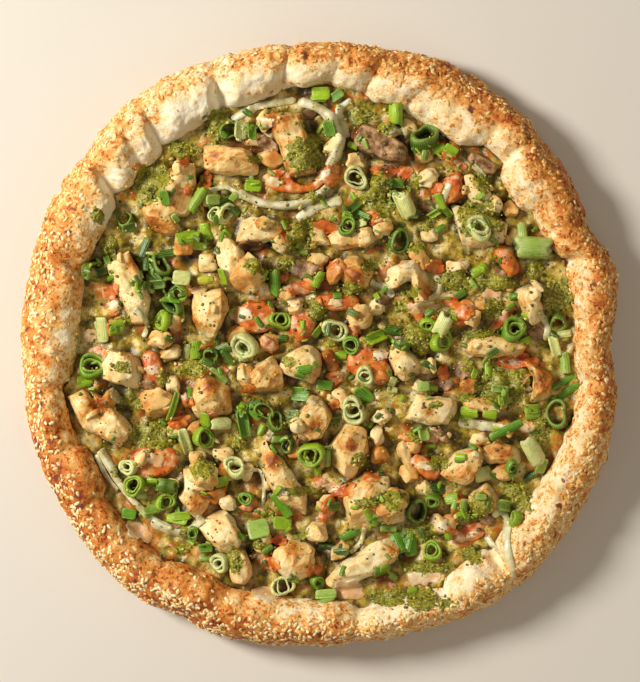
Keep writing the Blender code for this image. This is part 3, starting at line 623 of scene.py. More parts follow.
def meatMaterial():
    wire = newMaterial("roastChicken", Subsurface_Weight=0.12, Subsurface_Scale=0.003,
                       Specular_IOR_Level=0.45)
    tone = wire.value("brown") + (wire.specks(5, 4, 0.6) - 0.5) * 0.6 + (wire.specks(1.4, 3) - 0.5) * 0.2
    colour = wire.ramp(tone, *chicken["colours"])
    pepper = wire.cells(2.8).from0to1(0.11, 0.06) * wire.specks(8, 3).from0to1(0.55, 0.62)
    colour = wire.blend(pepper * 0.7, colour, (58, 36, 18))
    stain = wire.specks(6, 4, 0.6).from0to1(0.52, 0.70)
    colour = wire.blend(stain * 0.28, colour, (182, 164, 90), "MULTIPLY")
    green = (wire.value("pesto") + (wire.specks(2.4, 3) - 0.5) * 1.3).from0to1(0.32, 0.56)
    colour = wire.blend(green, colour, pestoColour(wire))
    colour = wire.blend(wire.value("shade") * 0.8, colour, (84, 52, 10))
    relief = wire.specks(1.8, 4, 0.6) + wire.specks(0.6, 2) * 0.4
    return plug(wire, colour, 0.50 - green * 0.12, relief, 0.38)


def pestoColour(wire):
    colour = wire.ramp(wire.specks(1.5, 4, 0.8), *pestoLook["colours"])
    return wire.blend(wire.specks(7, 2).from0to1(0.45, 0.75) * 0.25, colour, (100, 106, 16))


toShade = []


def shadeHollows():   # painted shade: darkens what lies low between the toppings, where shade falls
    around = relief.spread(4)
    for mesh in toShade:
        points = pointsOf(mesh)
        i, j = (np.rint(points[:, :2]).astype(int) + relief.half).T
        keepValues(mesh, "shade", np.clip((around[i, j] - points[:, 2] - 0.4) / 5.6, 0, 1))


def cutFaces(points, draw, count, cut):   # flat faces, as a knife leaves them
    middle = (points.min(0) + points.max(0)) / 2
    local = points - middle
    for _ in range(count):
        face = unit(np.array([draw.gauss(0, 1), draw.gauss(0, 1), abs(draw.gauss(0, 0.8))]))
        reach = local @ face
        local = local - np.outer(np.maximum(0, reach - reach.max() * draw.uniform(*cut)) * 0.9, face)
    return local + middle


def ridges(mesh, points):   # how far each point stands out from its neighbours, in mm
    pairs = np.empty(len(mesh.edges) * 2, np.int32)
    mesh.edges.foreach_get("vertices", pairs)
    a, b = pairs.reshape(-1, 2).T
    total, count = np.zeros_like(points), np.zeros(len(points))
    np.add.at(total, a, points[b])
    np.add.at(total, b, points[a])
    np.add.at(count, a, 1)
    np.add.at(count, b, 1)
    return ((points - total / count[:, None]) * normalsOf(mesh)).sum(1)


def roundedCopy(node, voxel, times, strength):   # a solid's copy, with an even mesh and soft edges
    piece = bpy.data.objects.new(pieceName(node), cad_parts[node].data.copy())
    bpy.context.scene.collection.objects.link(piece)
    bpy.context.view_layer.objects.active = piece
    joined = bmesh.new()
    joined.from_mesh(piece.data)
    bmesh.ops.remove_doubles(joined, verts=joined.verts, dist=0.01 * mm)
    joined.to_mesh(piece.data)
    joined.free()
    remesh = piece.modifiers.new("even", "REMESH")
    remesh.mode, remesh.voxel_size = "VOXEL", voxel * mm
    bpy.ops.object.modifier_apply(modifier="even")
    soften = piece.modifiers.new("soften", "SMOOTH")
    soften.iterations, soften.factor = times, strength
    bpy.ops.object.modifier_apply(modifier="soften")
    return piece


def shapeMeat(node, material):   # torn, fibrous meat in the place of a plain lump
    piece = roundedCopy(node, chicken["voxel"], 3, 0.5)
    mesh = piece.data
    points = pointsOf(mesh)
    centred = points[:, :2] - points[:, :2].mean(0)
    along = np.linalg.svd(centred, full_matrices=False)[2][0]
    fibre = np.stack([centred @ along / 7, centred @ (-along[1], along[0]) / 1.5, points[:, 2] / 1.5], 1)
    shift = float(points[0, 0] * 0.37)
    middle = points.mean(0)
    points = middle + (points - middle) * chicken["larger"]
    points[:, 2] = bedTop + (points[:, 2] - bedTop) * chicken["lower"]
    points = points + normalsOf(mesh) * (chicken["lumps"] * grain(points, 9, shift) + 0.3)[:, None]
    points = cutFaces(points, random.Random(node), chicken["faces"], chicken["cut"])
    move = (chicken["tears"] * (cracks(points, 11, shift) - 0.9) + 0.22 * grain(points, 3.5, shift + 3)
            + chicken["fibres"] * grain(fibre, 1.0, shift) + 0.07 * grain(points, 1.5, 8))
    pesto = pestoAt(points) * smoothStep(-0.2, 0.5, normalsOf(mesh)[:, 2])
    points = points + normalsOf(mesh) * move[:, None]
    points[:, 2] = np.maximum(points[:, 2], bedTop - 1.5)
    movePoints(mesh, points)
    brown = (random.Random(node).uniform(*chicken["evenBrown"]) + 0.34 * grain(points, 9, shift + 9)
             + np.clip(ridges(mesh, points) * 2.2, -0.10, 0.36))
    brown = brown + chicken["toasted"] * sum(spotsOn(points, chicken["browned"]))
    keepValues(mesh, "brown", brown)
    keepValues(mesh, "pesto", pesto)
    toShade.append(mesh)
    relief.add(points)
    return finish(piece, material, "chicken", node)


# Softer toppings that keep the form of their solids. Their colours lie over a noise of some mm, and
# "edge" and "melted" are the share and the colour of their sides and of the cheese on them.
soft = {
    "tomato": {
        "name": "cookedTomato", "look": {"Subsurface_Weight": 0.15, "Subsurface_Scale": 0.003,
                                         "Coat_Weight": 0.12, "Coat_Roughness": 0.3},
        "lumps": 0.35, "noise": (5, 4, 0.6), "edge": (0.4, (194, 74, 14)), "melted": (0.8, (246, 216, 170)),
        "colours": ((0.30, (180, 68, 10)), (0.46, (210, 102, 26)), (0.60, (228, 142, 56)),
                    (0.74, (240, 188, 112))),
        "rough": (0.42, 0.1), "bump": (2.2, 3), "depth": 0.4},
    "mushroom": {
        "name": "cookedMushroom", "look": {"Specular_IOR_Level": 0.4},
        "lumps": 0.6, "noise": (4, 4, 0.6), "edge": (0.6, (84, 54, 36)),
        "colours": ((0.30, (66, 46, 28)), (0.46, (146, 106, 68)), (0.6, (190, 150, 104)),
                    (0.74, (220, 190, 146))),
        "rough": (0.5, -0.1), "bump": (1.6, 3), "depth": 0.5},
    "onion": {
        "name": "softOnion", "look": {"Subsurface_Weight": 0.3, "Subsurface_Scale": 0.004,
                                      "Coat_Weight": 0.2, "Coat_Roughness": 0.3},
        "lumps": 0.3, "noise": (6, 3),
        "colours": ((0.32, (184, 172, 116)), (0.5, (222, 212, 166)), (0.68, (242, 236, 206))),
        "rough": (0.36, 0.1), "bump": (1.6, 2), "depth": 0.25},
    "cheese": {
        "name": "whiteCheese", "look": {"Subsurface_Weight": 0.2, "Subsurface_Scale": 0.003,
                                        "Coat_Weight": 0.2, "Coat_Roughness": 0.3},
        "noise": (4, 3), "edge": (0.6, (226, 160, 92)),
        "colours": ((0.36, (232, 186, 124)), (0.5, (246, 216, 172)), (0.66, (252, 236, 212))),
        "rough": (0.40, 0.1), "bump": (1.8, 3), "depth": 0.3}}


def shapeSoft(node, material, slot):
    piece = roundedCopy(node, 0.7, 4, 0.6)
    mesh = piece.data
    points = pointsOf(mesh)
    pesto = pestoAt(points) * smoothStep(-0.2, 0.5, normalsOf(mesh)[:, 2])
    if slot == "onion":   # limp
        points[:, 2] = bedTop + 1.5 + (points[:, 2] - bedTop - 1.5) * 0.7
    move = soft[slot]["lumps"] * layered(points, ((1, 6, 0), (0.5, 2.5, 4)))
    move = move + 0.7 * pesto * (0.4 + grain(points, 2.2, 50))
    points = points + normalsOf(mesh) * move[:, None]
    movePoints(mesh, points)
    keepValues(mesh, "pesto", pesto)
    keepValues(mesh, "edge", 1 - smoothStep(0.2, 0.8, normalsOf(mesh)[:, 2]))
    toShade.append(mesh)
    relief.add(points)
    return finish(piece, material, slot, node)


def softMaterial(kind):   # pesto, and a painted shade over what lies low, lie over each of them
    look = soft[kind]
    wire = newMaterial(look["name"], **look["look"])
    colour = wire.ramp(wire.specks(*look["noise"]), *look["colours"])
    if "edge" in look:
        share, side = look["edge"]
        colour = wire.blend(wire.value("edge") * share, colour, side)
    if "melted" in look:
        share, cheese = look["melted"]
        colour = wire.blend(wire.specks(8, 4, 0.6).from0to1(0.49, 0.68) * share, colour, cheese)
    green = (wire.value("pesto") + (wire.specks(2.4, 3) - 0.5) * 1.0).from0to1(0.42, 0.60)
    colour = wire.blend(green, colour, pestoColour(wire))
    colour = wire.blend(wire.value("shade") * 0.75, colour, (84, 46, 8))
    plain, oily = look["rough"]
    return plug(wire, colour, plain + green * oily, wire.specks(*look["bump"]), look["depth"])


# Small pieces scattered where nothing larger lies: how many, then the least and the greatest of
# their lengths, widths and heights
scattered = {"chicken": (60, (10, 17), (8, 11)), "shreds": (55, (5, 11), (2.2, 3.8)),
             "tomato": (26, (9, 15), (6, 9), (4, 6)), "mushroom": (9, (9, 14), (5, 8), (4, 6)),
             "smears": (30, (8, 14), (6, 10)), "greenScraps": (280, (2.5, 7.0)), "grains": (2100,)}
toppingsReach = 130   # the radius that small toppings keep to

# Smaller toppings: (x, y, length, width, turn)
smallChicken = (
    (-86, 3, 8, 7, 0), (-81, -5, 12, 9, 20), (20, 101, 11, 10, 0), (60, 91, 12, 11, 30),
    (60, 59, 11, 8, 0), (74, 42, 15, 8, -5), (-88, -31, 20, 17, 10), (6, -9, 21, 7, -68),
    (22, 15, 15, 13, 20), (32, -50, 14, 8, 90), (-39, 38, 22, 18, -50), (-50, -87, 10, 9, 0),
    (-52, -60, 15, 8, -10), (34, -40, 11, 10, 0), (47, -60, 15, 7, -70), (54, -75, 14, 7, -50),
    (-63, -70, 18, 15, 0), (39, -89, 19, 17, 40), (-76, 96, 9, 8, 0), (84, 14, 12, 8, 15),
    (-12, -44, 9, 8, 0), (-30, 66, 12, 8, 30), (70, -96, 13, 9, 20), (-96, -62, 11, 8, 40),
    (104, 74, 12, 9, -40), (32, 62, 10, 8, 0), (-40, -70, 10, 8, 50), (118, 28, 10, 7, 80),
    (-14, 20, 9, 8, 0), (88, -52, 12, 8, 0))
smallTomato = (
    (7, 92, 10, 12, 0), (4, 64, 17, 8, 0), (36, 95, 17, 7, 0), (47, 94, 8, 10, 0),
    (75, 100, 12, 5, -35), (74, 86, 15, 9, 80), (64, 85, 8, 8, 0), (101, 49, 11, 11, 0),
    (104, 42, 6, 12, 0), (-114, 29, 10, 9, 0), (-112, 20, 8, 10, 0), (-121, -5, 11, 8, 0),
    (-10, 31, 16, 8, 0), (8, 42, 8, 8, 0), (-9, 9, 18, 13, -30), (34, -18, 10, 8, 0),
    (79, 18, 12, 10, 0), (72, 24, 10, 8, 0), (100, 14, 20, 6, 50), (108, -9, 24, 8, 0),
    (-32, -92, 10, 6, 0), (-22, -107, 9, 6, 0), (-27, -120, 12, 8, 0), (13, -80, 15, 6, 25),
    (0, -76, 8, 6, 0), (83, -103, 16, 9, 25), (-53, -14, 8, 4, 0), (9, -33, 6, 6, 0),
    (49, -50, 8, 7, 0), (-25, 92, 12, 6, 10), (-98, 96, 8, 6, 0), (-70, 84, 8, 6, 40),
    (60, 14, 9, 6, 0), (-38, -24, 8, 6, 0), (28, -72, 10, 6, 0))
smallMushroom = (
    (-37, 54, 15, 6, 0), (-8, 41, 16, 10, 0), (67, -22, 14, 8, 0), (79, -14, 10, 10, 0),
    (119, 6, 9, 8, 0), (44, 103, 14, 9, -30), (-94, -22, 9, 6, 0), (-6, 126, 10, 6, 20),
    (92, -96, 9, 6, 0))
whiteCheese = (
    (94, 26, 12, 8, 0), (56, 20, 18, 6, 10), (104, -11, 12, 6, 0), (65, -98, 12, 8, 0),
    (-29, 121, 9, 6, 0), (2, 93, 9, 5, 20), (-25, 89, 11, 6, 0), (-125, 5, 8, 7, 0),
    (-42, 16, 12, 9, 0), (57, -128, 15, 10, 0), (-12, 24, 10, 6, 0), (7, -78, 9, 5, 0),
    (-91, -14, 8, 6, 0), (9, 23, 9, 5, 0), (33, -6, 9, 6, 0), (-89, -63, 10, 7, 0), (58, -66, 8, 5, 0),
    (84, -104, 8, 4, 20), (-112, 21, 8, 6, 0), (16, -134, 18, 12, 0), (-98, -102, 14, 9, -40),
    (-28, -136, 16, 8, 0), (76, 99, 7, 3, -35), (-66, 30, 9, 5, 0), (48, 44, 8, 5, 0),
    (-30, 30, 8, 5, 30), (-4, -30, 8, 5, 0), (30, -30, 8, 5, 60), (112, -46, 8, 5, 0),
    (-20, -80, 8, 5, 0))
# thin strips of onion: (width, points of its middle line)
onionStrips = (
    (4.5, (-48, 123), (-38, 128), (-30, 131), (-12, 134)),
    (5.5, (-12, 133), (0, 129), (9, 122), (12, 111), (8, 100)),
    (4, (18, 134), (11, 129), (13, 122), (16, 113)),
    (5, (-44, 84), (-33, 78), (-20, 76), (-5, 78), (3, 83)), (6, (-12, 68), (0, 76), (13, 79)),
    (2.5, (-122, -60), (-116, -72), (-110, -80)), (5.5, (-92, -97), (-75, -103), (-63, -94)),
    (4, (71, 88), (68, 80), (64, 72)),
    (4.5, (95, -94), (99, -91), (103, -96), (102, -108), (106, -128)),
    (3.5, (92, -105), (96, -112), (100, -122)), (2.2, (-48, -70), (-33, -69), (-30, -80), (-31, -88)),
    (2.8, (25, -100), (23, -108), (17, -114)), (6, (76, -42), (88, -44), (101, -46)),
    (4, (-119, -57), (-115, -64), (-111, -71)), (4, (-114, -24), (-111, -28), (-108, -32)),
    (4.5, (37, 116), (43, 117), (49, 115)), (4, (28, 34), (35, 32), (41, 26)),
    (4, (120, 18), (125, 10), (124, 2)), (3, (-60, 84), (-50, 86), (-42, 80)),
    (3, (84, 98), (90, 92), (95, 84)), (3.5, (60, 24), (66, 30), (64, 38)),
    (3, (-100, 20), (-94, 12), (-96, 4)))


def lay(pile, points, faces, browned=0.3):   # adds a piece with the values that its material reads
    pesto = pestoAt(points)
    brown = browned + 0.3 * grain(points, 7, 9)
    brown = brown + chicken["toastedSmall"] * sum(spotsOn(points, chicken["browned"]))
    rise = (points[:, 2] - points[:, 2].min()) / max(np.ptp(points[:, 2]), 0.1)
    pile.add(points, faces, pesto=pesto, brown=brown, edge=1 - smoothStep(0.3, 0.9, rise))
    relief.add(points)


def draped(points, x, y, turn):   # a soft flat thing follows what it lies on
    c, s = math.cos(math.radians(turn)), math.sin(math.radians(turn))
    px = x + offset[0] + points[:, 0] * c - points[:, 1] * s
    py = y + offset[1] + points[:, 0] * s + points[:, 1] * c
    return np.stack([px, py, np.minimum(relief.under(px, py) + points[:, 2], highest)], 1)


def anyPlace(draw, reach):   # a random place within this radius
    angle, away = draw.uniform(0, 6.283), reach * math.sqrt(draw.random())
    return away * math.cos(angle), away * math.sin(angle)


def freeSpots(draw, count, reach, ceiling):   # places where little but the bed is seen
    found = []
    for _ in range(count * 60):
        x, y = anyPlace(draw, 129)
        i, j = int(x + offset[0]) + relief.half, int(y + offset[1]) + relief.half
        area = relief.heights[i - reach:i + reach + 1, j - reach:j + reach + 1]
        if area.mean() < ceiling and all(math.hypot(x - a, y - b) > reach * 2 for a, b in found):
            found.append((x, y))
        if len(found) == count:
            break
    return found


def makeSmallToppings(meat, tomato, mushroom, onion):
    draw = random.Random(3)
    ball, ballFaces = template(bpy.ops.mesh.primitive_ico_sphere_add, subdivisions=4, radius=1)
    disc, discFaces = template(bpy.ops.mesh.primitive_uv_sphere_add, segments=22, ring_count=14, radius=1)
    strip, stripFaces = template(bpy.ops.mesh.primitive_uv_sphere_add, segments=10, ring_count=44, radius=1)
    crumb, crumbFaces = template(bpy.ops.mesh.primitive_ico_sphere_add, subdivisions=3, radius=1)
    crumbPoints = [int(np.argmin(((ball - point) ** 2).sum(1))) for point in crumb]

    def lump(length, width, height):
        points = np.sign(ball) * np.abs(ball) ** 0.72 * (length / 2, width / 2, height / 2)
        points = cutFaces(points, draw, 12, (0.66, 0.92))
        shift = draw.uniform(0, 90)
        fibre = grain(points * (0.22, 1, 1), 1.7, shift) * 0.06
        uneven = 1 + 0.30 * grain(points, 5, shift) + 0.10 * grain(points, 2.2, shift) + fibre
        return points * uneven[:, None]

    def blob(length, width, height, ragged):
        shift = draw.uniform(0, 90)
        points = disc * (length / 2, width / 2, height / 2)
        outline = (1 + ragged * grain(disc * (1.6, 1.6, 0), 1, shift)
                   + ragged * 0.5 * grain(disc * (4, 4, 0), 1, shift))
        points = points * np.stack([outline, outline, np.ones(len(outline))], 1)
        points[:, 2] = np.sign(points[:, 2]) * np.abs(disc[:, 2]) ** 0.6 * height / 2
        points[:, 2] += height * 0.12 * grain(points, 3, shift)
        return points

    def flatPieces(name, material, slot, rows, heights, ragged, spare=(0,), spareRagged=0):
        pile = Pile()
        for x, y, length, width, turn in rows:
            lay(pile, draped(blob(length, width, draw.uniform(*heights), ragged), x, y, turn), discFaces)
        count, *sizes = spare
        for x, y in freeSpots(draw, count, 4, bedTop + 3.5):
            points = blob(*(draw.uniform(*size) for size in sizes), spareRagged)
            lay(pile, draped(points, x, y, draw.uniform(0, 180)), discFaces)
        toShade.append(pile.piece(name, material, slot).data)

    relief.settle()
    pile = Pile()
    for x, y, length, width, turn in smallChicken:
        height = min(length, width) * draw.uniform(0.7, 0.95)
        points = placed(lump(length, width, height), x, y, width / 3, turn, height, height * 0.2)
        lay(pile, points, ballFaces, draw.uniform(0.2, 0.55))
    count, lengths, widths = scattered["chicken"]
    for x, y in freeSpots(draw, count, 4, bedTop + 3.2):
        length, width = draw.uniform(*lengths), draw.uniform(*widths)
        height = width * 0.75
        points = placed(lump(length, width, height), x, y, 3, draw.uniform(0, 180), height, 1.8)
        lay(pile, points, ballFaces, draw.uniform(0.25, 0.7))
    count, lengths, widths = scattered["shreds"]
    for _ in range(count):
        x, y = anyPlace(draw, toppingsReach)
        length, width = draw.uniform(*lengths), draw.uniform(*widths)
        height = width * 0.8
        shred = lump(length, width, height)[crumbPoints]
        points = placed(shred, x, y, width / 2, draw.uniform(0, 180), height, 0.5)
        lay(pile, points, crumbFaces, draw.uniform(0.2, 0.6))
    toShade.append(pile.piece("smallChicken", meat, "chicken").data)
    relief.settle()
    flatPieces("smallTomato", tomato, "tomato", smallTomato, (2.2, 3.6), 0.4,
               scattered["tomato"], 0.35)
    flatPieces("smallMushroom", mushroom, "mushroom", smallMushroom, (3.5, 5), 0.25,
               scattered["mushroom"], 0.25)
    relief.settle()
    pile = Pile()
    for width, *line in onionStrips:
        line = np.array([line[0], *line, line[-1]], float)
        t = np.arccos(np.clip(strip[:, 2], -1, 1)) / math.pi * (len(line) - 3)
        i = np.clip(t.astype(int), 0, len(line) - 4)
        t = (t - i)[:, None]
        p0, p1, p2, p3 = line[i], line[i + 1], line[i + 2], line[i + 3]
        middle = curvePoint(p0, p1, p2, p3, t)
        way = (p2 - p0) + 2 * (2 * p0 - 5 * p1 + 4 * p2 - p3) * t + 3 * (3 * p1 - p0 - 3 * p2 + p3) * t ** 2
        way = way / np.maximum(np.linalg.norm(way, axis=1), 1e-6)[:, None]
        around = np.arctan2(strip[:, 1], strip[:, 0])
        thin = np.minimum(1, np.hypot(strip[:, 0], strip[:, 1]) * 5) ** 0.5
        places = np.stack([i * 3.1, t[:, 0] * 4, np.full(len(i), width)], 1)
        thin = thin * (1 + 0.2 * grain(places, 1))
        side = np.cos(around) * width / 2 * thin
        flat = np.stack([middle[:, 0] - way[:, 1] * side, middle[:, 1] + way[:, 0] * side], 1)
        height = np.sin(around) * 0.8 * thin - (np.cos(around) ** 2) * 0.4
        x, y = flat[:, 0] + offset[0], flat[:, 1] + offset[1]
        z = np.minimum(relief.under(x, y) + 0.5 + height, highest)
        lay(pile, np.stack([x, y, z], 1), stripFaces[:, ::-1])
    toShade.append(pile.piece("onionStrips", onion, "onion").data)
    relief.settle()
    flatPieces("whiteCheese", softMaterial("cheese"), "cheese", whiteCheese, (0.9, 1.5), 0.5)


def makePestoSmears():
    draw = random.Random(14)
    count, lengths, widths = scattered["smears"]
    thin = [(*spot, draw.uniform(*lengths), draw.uniform(*widths))
            for spot in freeSpots(draw, count, 4, bedTop + 5)]
    disc, discFaces = template(bpy.ops.mesh.primitive_uv_sphere_add, segments=36, ring_count=22, radius=1)
    relief.settle()
    pile = Pile()
    for x, y, length, width in (*pestoPatches, *thin):
        shift = draw.uniform(0, 90)
        outline = (0.88 + 0.55 * grain(disc * (1.5, 1.5, 0), 1, shift)
                   + 0.35 * grain(disc * (3.4, 3.4, 0), 1, shift))
        spread = np.hypot(disc[:, 0], disc[:, 1])
        points = disc * (length / 2, width / 2, 0) * outline[:, None]
        thick = pestoLook["smearThick"] * np.sqrt(np.clip(1 - spread ** 2, 0, 1))
        points[:, 2] = np.where(disc[:, 2] >= 0, thick - 0.25, -1.2 * thick - 0.25)
        laid = draped(points, x, y, 0)
        bumps = 0.9 * grain(laid * (1, 1, 0.3), 3.2, 5) + 0.7 * grain(laid * (1, 1, 0.3), 1.5, 9)
        laid[:, 2] += np.where(disc[:, 2] > 0.02, bumps * np.minimum(1, thick * 2), 0)
        laid[:, 2] = np.minimum(laid[:, 2], highest)
        pile.add(laid, discFaces)
        relief.add(laid)
    wire = newMaterial("pestoSmear", Coat_Weight=0.25, Coat_Roughness=0.3)
    colour = wire.blend(wire.value("shade") * 0.7, pestoColour(wire), (40, 36, 2))
    material = plug(wire, colour, wire.specks(1.5, 2) * 0.3 + 0.32, wire.specks(1.0, 4, 0.7), 0.55)
    toShade.append(pile.piece("pestoSmears", material, "pesto").data)


# Melted cheese and sauce under the toppings
bed = {"spacing": 0.88, "size": 292, "underRim": 2.2, "gapSize": 4.5, "gapDepth": 3.5, "edge": (130.2, 140),
       "climb": 1.2, "rough": ((2.3, 10, 0), (1.5, 4.6, 6), (0.35, 1.8, 3)),
       # low places, which the material paints dark brown as shade: (x, y)
       "gaps": ((-63, 91), (-8, 138), (100, 74), (0, -112), (-118, -30), (-38, -115), (-72, 48), (66, -22)),
       "colours": ((0.34, (72, 54, 4)), (0.43, (130, 110, 14)), (0.51, (188, 158, 52)),
                   (0.57, (232, 204, 116)), (0.66, (250, 232, 176)))}


def makeBed(material):
    cells = int(bed["size"] / bed["spacing"])
    bpy.ops.mesh.primitive_grid_add(x_subdivisions=cells, y_subdivisions=cells, size=bed["size"] * mm)
    piece = bpy.context.object
    piece.name = "cheeseBed"
    mesh = piece.data
    points = pointsOf(mesh)
    reach = np.hypot(points[:, 0], points[:, 1])
    outside = reach > innerEdge(np.degrees(np.arctan2(points[:, 1], points[:, 0]))) + bed["underRim"]
    sheet = bmesh.new()
    sheet.from_mesh(mesh)
    sheet.verts.ensure_lookup_table()
    bmesh.ops.delete(sheet, geom=[sheet.verts[i] for i in np.flatnonzero(outside)], context="VERTS")
    border = [edge for edge in sheet.edges if edge.is_boundary]
    walls = bmesh.ops.extrude_edge_only(sheet, edges=border)["geom"]
    for corner in walls:
        if isinstance(corner, bmesh.types.BMVert):
            corner.co.z = -6.5 * mm
    bmesh.ops.holes_fill(sheet, edges=[edge for edge in sheet.edges if edge.is_boundary])
    bmesh.ops.recalc_face_normals(sheet, faces=sheet.faces)
    sheet.to_mesh(mesh)
    sheet.free()
    points = pointsOf(mesh)
    top = points[:, 2] > -1
    points[:, 0] += offset[0]
    points[:, 1] += offset[1]
    # the bed climbs a little up whatever lies on it
    i, j = (np.rint(points[:, :2]).astype(int) + relief.half).T
    covered = relief.heights > bedTop
    steps = ((0, 3), (3, 0), (0, -3), (-3, 0), (2, 2), (-2, -2))
    near = sum(np.roll(covered, step, (0, 1)) for step in steps)[i, j] / len(steps)
    pesto = pestoAt(points)
    height = bedTop - 0.4 + near * bed["climb"] + layered(points, bed["rough"])
    height = height + pesto * (0.8 + 0.9 * grain(points, 2.4, 50))
    gap = np.max(spotsOn(points, [(x, y, bed["gapSize"]) for x, y in bed["gaps"]]), 0)
    height = height - gap * bed["gapDepth"]
    height = height + smoothStep(*bed["edge"], awayFrom(points, 0, 0)) * 0.8   # it climbs up the rim
    points[:, 2] = np.where(top, height, crust["base"] + 0.3)
    movePoints(mesh, points)
    keepValues(mesh, "pesto", pesto)
    keepValues(mesh, "gap", gap)
    keepValues(mesh, "height", (height - bedTop) / 3)
    toShade.append(mesh)
    relief.add(points[top])
    return finish(piece, material, "cheese", "cheese_bed")


def bedMaterial():
    wire = newMaterial("meltedCheese", Subsurface_Weight=0.06, Subsurface_Scale=0.003,
                       Coat_Weight=0.1, Coat_Roughness=0.35)
    colour = wire.ramp(wire.specks(8, 4, 0.6), *bed["colours"])
    sauce = wire.specks(11, 3, 0.5, 0.5).from0to1(0.55, 0.62)
    colour = wire.blend(sauce * 0.65, colour, (206, 98, 24))
    herbs = (wire.value("pesto") * 0.9 + (wire.specks(4, 4, 0.7) - 0.44) * 1.6).from0to1(0.10, 0.42)
    colour = wire.blend(herbs, colour, pestoColour(wire))
    flecks = wire.cells(2.4).from0to1(0.22, 0.15)
    colour = wire.blend(flecks * 0.55, colour, (50, 64, 12))
    # painted shade: the low gaps in the bed are painted dark brown
    colour = wire.blend(wire.value("gap").from0to1(0.15, 0.8) * 0.9, colour, (40, 26, 10))
    # painted shade: the bed is painted darker brown where it lies below its level
    low = wire.value("height").from0to1(-0.1, -0.8) * 0.6
    colour = wire.blend(low, colour, (76, 58, 16))
    colour = wire.blend(wire.value("shade") * 0.9, colour, (46, 32, 2))
    return plug(wire, colour, 0.36 + herbs * 0.12, wire.specks(2.8, 3, 0.6), 0.6)


# Spring onion. Wall is a share of the radius. Some rings have a layer inside, and some leaves are doubled.
stem = {"wall": (0.28, 0.40), "innerLayer": 0.95, "ringHeight": 4.5, "leafThick": 1.3, "paleThick": 1.9,
        "doubled": 0.6, "fineFrom": 7.5, "pale": (232, 236, 176), "fresh": (166, 196, 72)}
# Tones are dark, mid, lime, mint (i), white and yellow.
tones = {"d": (36, 82, 4), "m": (76, 136, 4), "l": (146, 182, 16), "i": (140, 172, 66),
         "w": (218, 220, 140), "y": (188, 194, 58)}
